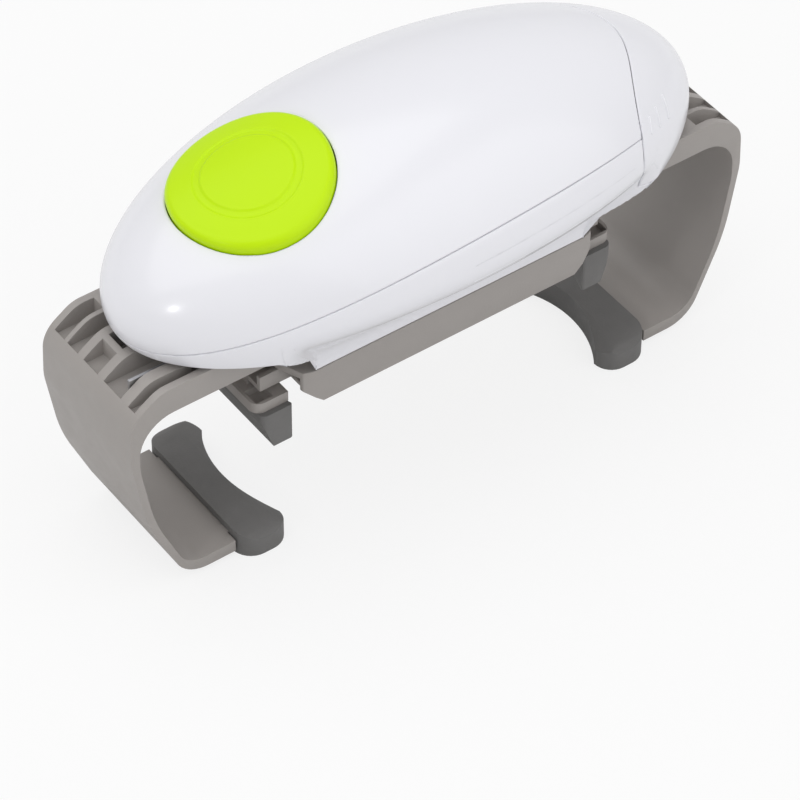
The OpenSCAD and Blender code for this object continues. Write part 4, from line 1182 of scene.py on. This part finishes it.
class JAR_OT_arms(bpy.types.Operator):
    """Round the jar arms and build their rubber pads"""
    bl_idname = "jar_opener.arms"
    bl_label = "Jar arms and pads"

    def execute(self, context):
        g = settings().grip
        for side in ("left", "right"):
            rounded_piece(f"{side}_arm", f"{side}_arm_form", f"arm_{side}", "arm_grey",
                          warm_grey(), g.arm_edge)
            rounded_piece(f"{side}_jar_pad", f"{side}_jar_pad_form", f"arm_{side}", "pad_rubber",
                          pad_rubber(), g.pad_edge, 4)
            paint(frame["nodes"][f"arm_strips_{side}"], rolled_steel())
        return {"FINISHED"}


class JAR_OT_lid_grip(bpy.types.Operator):
    """Round the lid carriage, its jaws and their pads"""
    bl_idname = "jar_opener.lid_grip"
    bl_label = "Lid carriage and jaws"

    def execute(self, context):
        g = settings().grip
        plate_edge, lid_pad_edge = 0.0002, g.pad_edge * 0.7
        rounded_piece("lid_carriage", "carriage_form", "carriage", "arm_grey", warm_grey(),
                      g.jaw_edge)
        rounded_piece("carriage_plate", "carriage_plate_form", "carriage", "arm_grey",
                      warm_grey(), plate_edge, 2)
        for side in ("left", "right"):
            rounded_piece(f"{side}_jaw", f"{side}_jaw_form", f"jaw_{side}", "arm_grey",
                          warm_grey(), g.jaw_edge)
            rounded_piece(f"{side}_lid_pad", f"{side}_lid_pad_form", f"jaw_{side}", "pad_rubber",
                          pad_rubber(), lid_pad_edge, 4)
        return {"FINISHED"}


class JAR_OT_drive(bpy.types.Operator):
    """Finish the motor, gears, shafts and plates"""
    bl_idname = "jar_opener.drive"
    bl_label = "Drive"

    def execute(self, context):
        nodes = frame["nodes"]
        for name in ("first_gear", "second_gear", "output_gear", "arm_pinion", "lid_pinion"):
            paint(nodes[name], nylon())
        for name in ("chassis_plate", "gearbox_base", "gearbox_cap"):
            paint(nodes[name], black_plastic())
        for name in ("drive_shaft", "first_axle", "second_axle", "motor_shaft"):
            paint(nodes[name], ground_steel())
        paint(nodes["shaft_clip"], zinc_plate())
        paint(nodes["motor_can"], rolled_steel())
        paint(nodes["motor_pinion"], turned_brass())
        for name in ("gearbox_screws", "base_screws", "motor_screws", "chassis_screws",
                     "board_screws", "tray_screws"):
            paint(nodes[name], zinc_plate())
        return {"FINISHED"}


class JAR_OT_power(bpy.types.Operator):
    """Finish the cells, tray, contacts and board"""
    bl_idname = "jar_opener.power"
    bl_label = "Power"

    def execute(self, context):
        nodes = frame["nodes"]
        low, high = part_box("cell_front")
        dark, band, bare = (0.02, 0.021, 0.025), (0.62, 0.36, 0.06), (0.62, 0.62, 0.6)
        start, end = low.x, high.x
        foot, cap, sleeve, gloss = 0.0008, 0.0022, 0.016, 0.32
        paint(nodes["cell_front"], striped("cell_sleeve_front", "X", [
            (start, bare), (start + foot, dark), (end - sleeve, band), (end - cap, bare),
            (end, bare)], gloss))
        paint(nodes["cell_rear"], striped("cell_sleeve_rear", "X", [
            (start, bare), (start + cap, band), (start + sleeve, dark), (end - foot, bare),
            (end, bare)], gloss))
        paint(nodes["battery_tray"], black_plastic())
        for name in ("negative_contact", "positive_contact", "bridge_contact"):
            paint(nodes[name], nickel_plate())
        paint(nodes["control_board"], circuit_green())
        paint(nodes["tact_switch"], black_plastic())
        return {"FINISHED"}


class JAR_OT_screws(bpy.types.Operator):
    """Build the screws that show from below"""
    bl_idname = "jar_opener.screws"
    bl_label = "Underside screws"

    def execute(self, context):
        d = settings().body.deck_height
        down = (0, 0, -1)
        # sizes: head diameter, head height, shank diameter and length in millimetres
        seat = d + 0.01895
        shell = screws("shell_screw_set", [(-0.073, 0, seat), (0.0495, 0.0225, seat),
                                           (0.0495, -0.0225, seat)],
                       down, (5.4, 1.8, 3.0, 13.0), zinc_plate())
        finish_piece(shell, "housing", "screw_steel", "shell_screws")
        rail = screws("carriage_screw_set", [(x * 0.03, y * 0.016, d - 0.00815)
                                             for x in (-1, 1) for y in (-1, 1)],
                      down, (3.8, 0.8, 2.0, 5.0), zinc_plate())
        finish_piece(rail, "carriage", "screw_steel", "carriage_screws")
        hub = screws("hub_screw_set", [(0, 0, d - 0.009)], down, (8.0, 1.6, 3.0, 10.0),
                     zinc_plate())
        finish_piece(hub, "carriage", "screw_steel", "hub_screw")
        return {"FINISHED"}


def background_rays(nodes, links):
    """1 for rays that show the plain background: from the camera or through a
    clear material."""
    rays = nodes.new("ShaderNodeLightPath")
    either = nodes.new("ShaderNodeMath")
    either.operation = "MAXIMUM"
    links.new(rays.outputs["Is Camera Ray"], either.inputs[0])
    links.new(rays.outputs["Is Transmission Ray"], either.inputs[1])
    return either.outputs[0]


class JAR_OT_stage(bpy.types.Operator):
    """Set the floor, the lights and the camera"""
    bl_idname = "jar_opener.stage"
    bl_label = "Stage"

    def execute(self, context):
        scene = context.scene
        s = settings().stage
        self.floor()
        self.world(s.sky)
        self.area("key_light", (-0.5, 0.5, 2.3), 3.2, s.key)
        self.area("side_light", (0.9, -1.6, 1.3), 2.6, s.fill)
        self.area("spot_light", (-1.18, -0.365, 0.66), 0.11, s.spark)
        self.camera()
        scene.view_settings.view_transform = "Standard"
        return {"FINISHED"}

    def floor(self):
        mesh = bpy.data.meshes.new("floor")
        size, drop, glow_share = 4.0, 0.0002, 0.8
        mesh.from_pydata([(-size, -size, 0), (size, -size, 0), (size, size, 0), (-size, size, 0)],
                         [], [(0, 1, 2, 3)])
        obj = in_scene("floor", mesh)
        obj.location = (0, 0, cad_box[0].z - drop)
        mat = bpy.data.materials.new("floor_white")
        mat.use_nodes = True
        nodes, links = mat.node_tree.nodes, mat.node_tree.links
        shader = nodes["Principled BSDF"]
        shader.inputs["Base Color"].default_value = (0.8, 0.8, 0.8, 1)
        shader.inputs["Roughness"].default_value = 0.9
        shader.inputs["Specular IOR Level"].default_value = 0.0
        glow = nodes.new("ShaderNodeEmission")
        glow.inputs["Color"].default_value = (1, 1, 1, 1)
        glow.inputs["Strength"].default_value = 1.0
        mix = nodes.new("ShaderNodeMixShader")
        share = nodes.new("ShaderNodeMath")
        share.operation = "MULTIPLY"
        share.inputs[1].default_value = glow_share
        links.new(background_rays(nodes, links), share.inputs[0])
        links.new(share.outputs[0], mix.inputs["Fac"])
        links.new(shader.outputs["BSDF"], mix.inputs[1])
        links.new(glow.outputs["Emission"], mix.inputs[2])
        links.new(mix.outputs["Shader"], nodes["Material Output"].inputs["Surface"])
        paint(obj, mat)

    def world(self, strength):
        world = bpy.context.scene.world or bpy.data.worlds.new("studio")
        bpy.context.scene.world = world
        world.use_nodes = True
        nodes, links = world.node_tree.nodes, world.node_tree.links
        sky = nodes["Background"]
        sky.inputs["Color"].default_value = (1, 1, 1, 1)
        sky.inputs["Strength"].default_value = strength
        seen = nodes.new("ShaderNodeBackground")
        seen.inputs["Color"].default_value = (1, 1, 1, 1)
        seen.inputs["Strength"].default_value = 1.0
        mix = nodes.new("ShaderNodeMixShader")
        links.new(background_rays(nodes, links), mix.inputs["Fac"])
        links.new(sky.outputs["Background"], mix.inputs[1])
        links.new(seen.outputs["Background"], mix.inputs[2])
        links.new(mix.outputs["Shader"], nodes["World Output"].inputs["Surface"])

    def area(self, name, place, size, power):
        light = bpy.data.lights.new(name, "AREA")
        light.shape = "SQUARE"
        light.size = size
        light.energy = power
        obj = in_scene(name, light)
        obj.location = place
        aim = Vector((0, 0, 0.07)) - Vector(place)   # near the middle of the object
        obj.rotation_euler = aim.to_track_quat("-Z", "Y").to_euler()

    def camera(self):
        """A long lens at the photograph's angle: 36 degrees off the body's side, 45 degrees up."""
        data = bpy.data.cameras.new("camera")
        data.lens = 180
        data.sensor_width = 36
        data.clip_start = 0.05
        data.clip_end = 20
        obj = in_scene("camera", data)
        turn, rise, roll = (math.radians(a) for a in (-36.18, 44.96, 0.46))
        back = Vector((math.sin(turn) * math.cos(rise), -math.cos(turn) * math.cos(rise),
                       math.sin(rise)))
        right = Vector((math.cos(turn), math.sin(turn), 0))
        up = back.cross(right)
        place = Vector((-0.4315, -0.5899, 0.7312))
        across = right * math.cos(roll) + up * math.sin(roll)
        upward = up * math.cos(roll) - right * math.sin(roll)
        obj.matrix_world = Matrix((
            (across.x, upward.x, back.x, place.x), (across.y, upward.y, back.y, place.y),
            (across.z, upward.z, back.z, place.z), (0, 0, 0, 1)))
        bpy.context.scene.camera = obj


class JAR_PT_panel(bpy.types.Panel):
    """Buttons and sizes of the jar opener"""
    bl_idname = "JAR_PT_panel"
    bl_label = "Jar opener"
    bl_space_type = "VIEW_3D"
    bl_region_type = "UI"
    bl_category = "Jar opener"

    def draw(self, context):
        for operator in OPERATORS:
            self.layout.operator(operator.bl_idname)
        s = settings()
        for group in (s.body, s.button, s.grip, s.stage):
            box = self.layout.box()
            for name in group.bl_rna.properties.keys():
                if name not in ("rna_type", "name"):
                    box.prop(group, name)


OPERATORS = (JAR_OT_body, JAR_OT_button, JAR_OT_arms, JAR_OT_lid_grip, JAR_OT_drive, JAR_OT_power,
             JAR_OT_screws, JAR_OT_stage)
CLASSES = (BodySettings, ButtonSettings, GripSettings, StageSettings, JarOpenerSettings,
           *OPERATORS, JAR_PT_panel)


def register():
    for c in CLASSES:
        bpy.utils.register_class(c)
    bpy.types.Scene.jar_opener = bpy.props.PointerProperty(type=JarOpenerSettings)


def unregister():
    del bpy.types.Scene.jar_opener
    for c in reversed(CLASSES):
        bpy.utils.unregister_class(c)


def main():
    register()
    bpy.ops.jar_opener.body()
    bpy.ops.jar_opener.button()
    bpy.ops.jar_opener.arms()
    bpy.ops.jar_opener.lid_grip()
    bpy.ops.jar_opener.drive()
    bpy.ops.jar_opener.power()
    bpy.ops.jar_opener.screws()
    bpy.ops.jar_opener.stage()


if __name__ == "__main__":
    main()
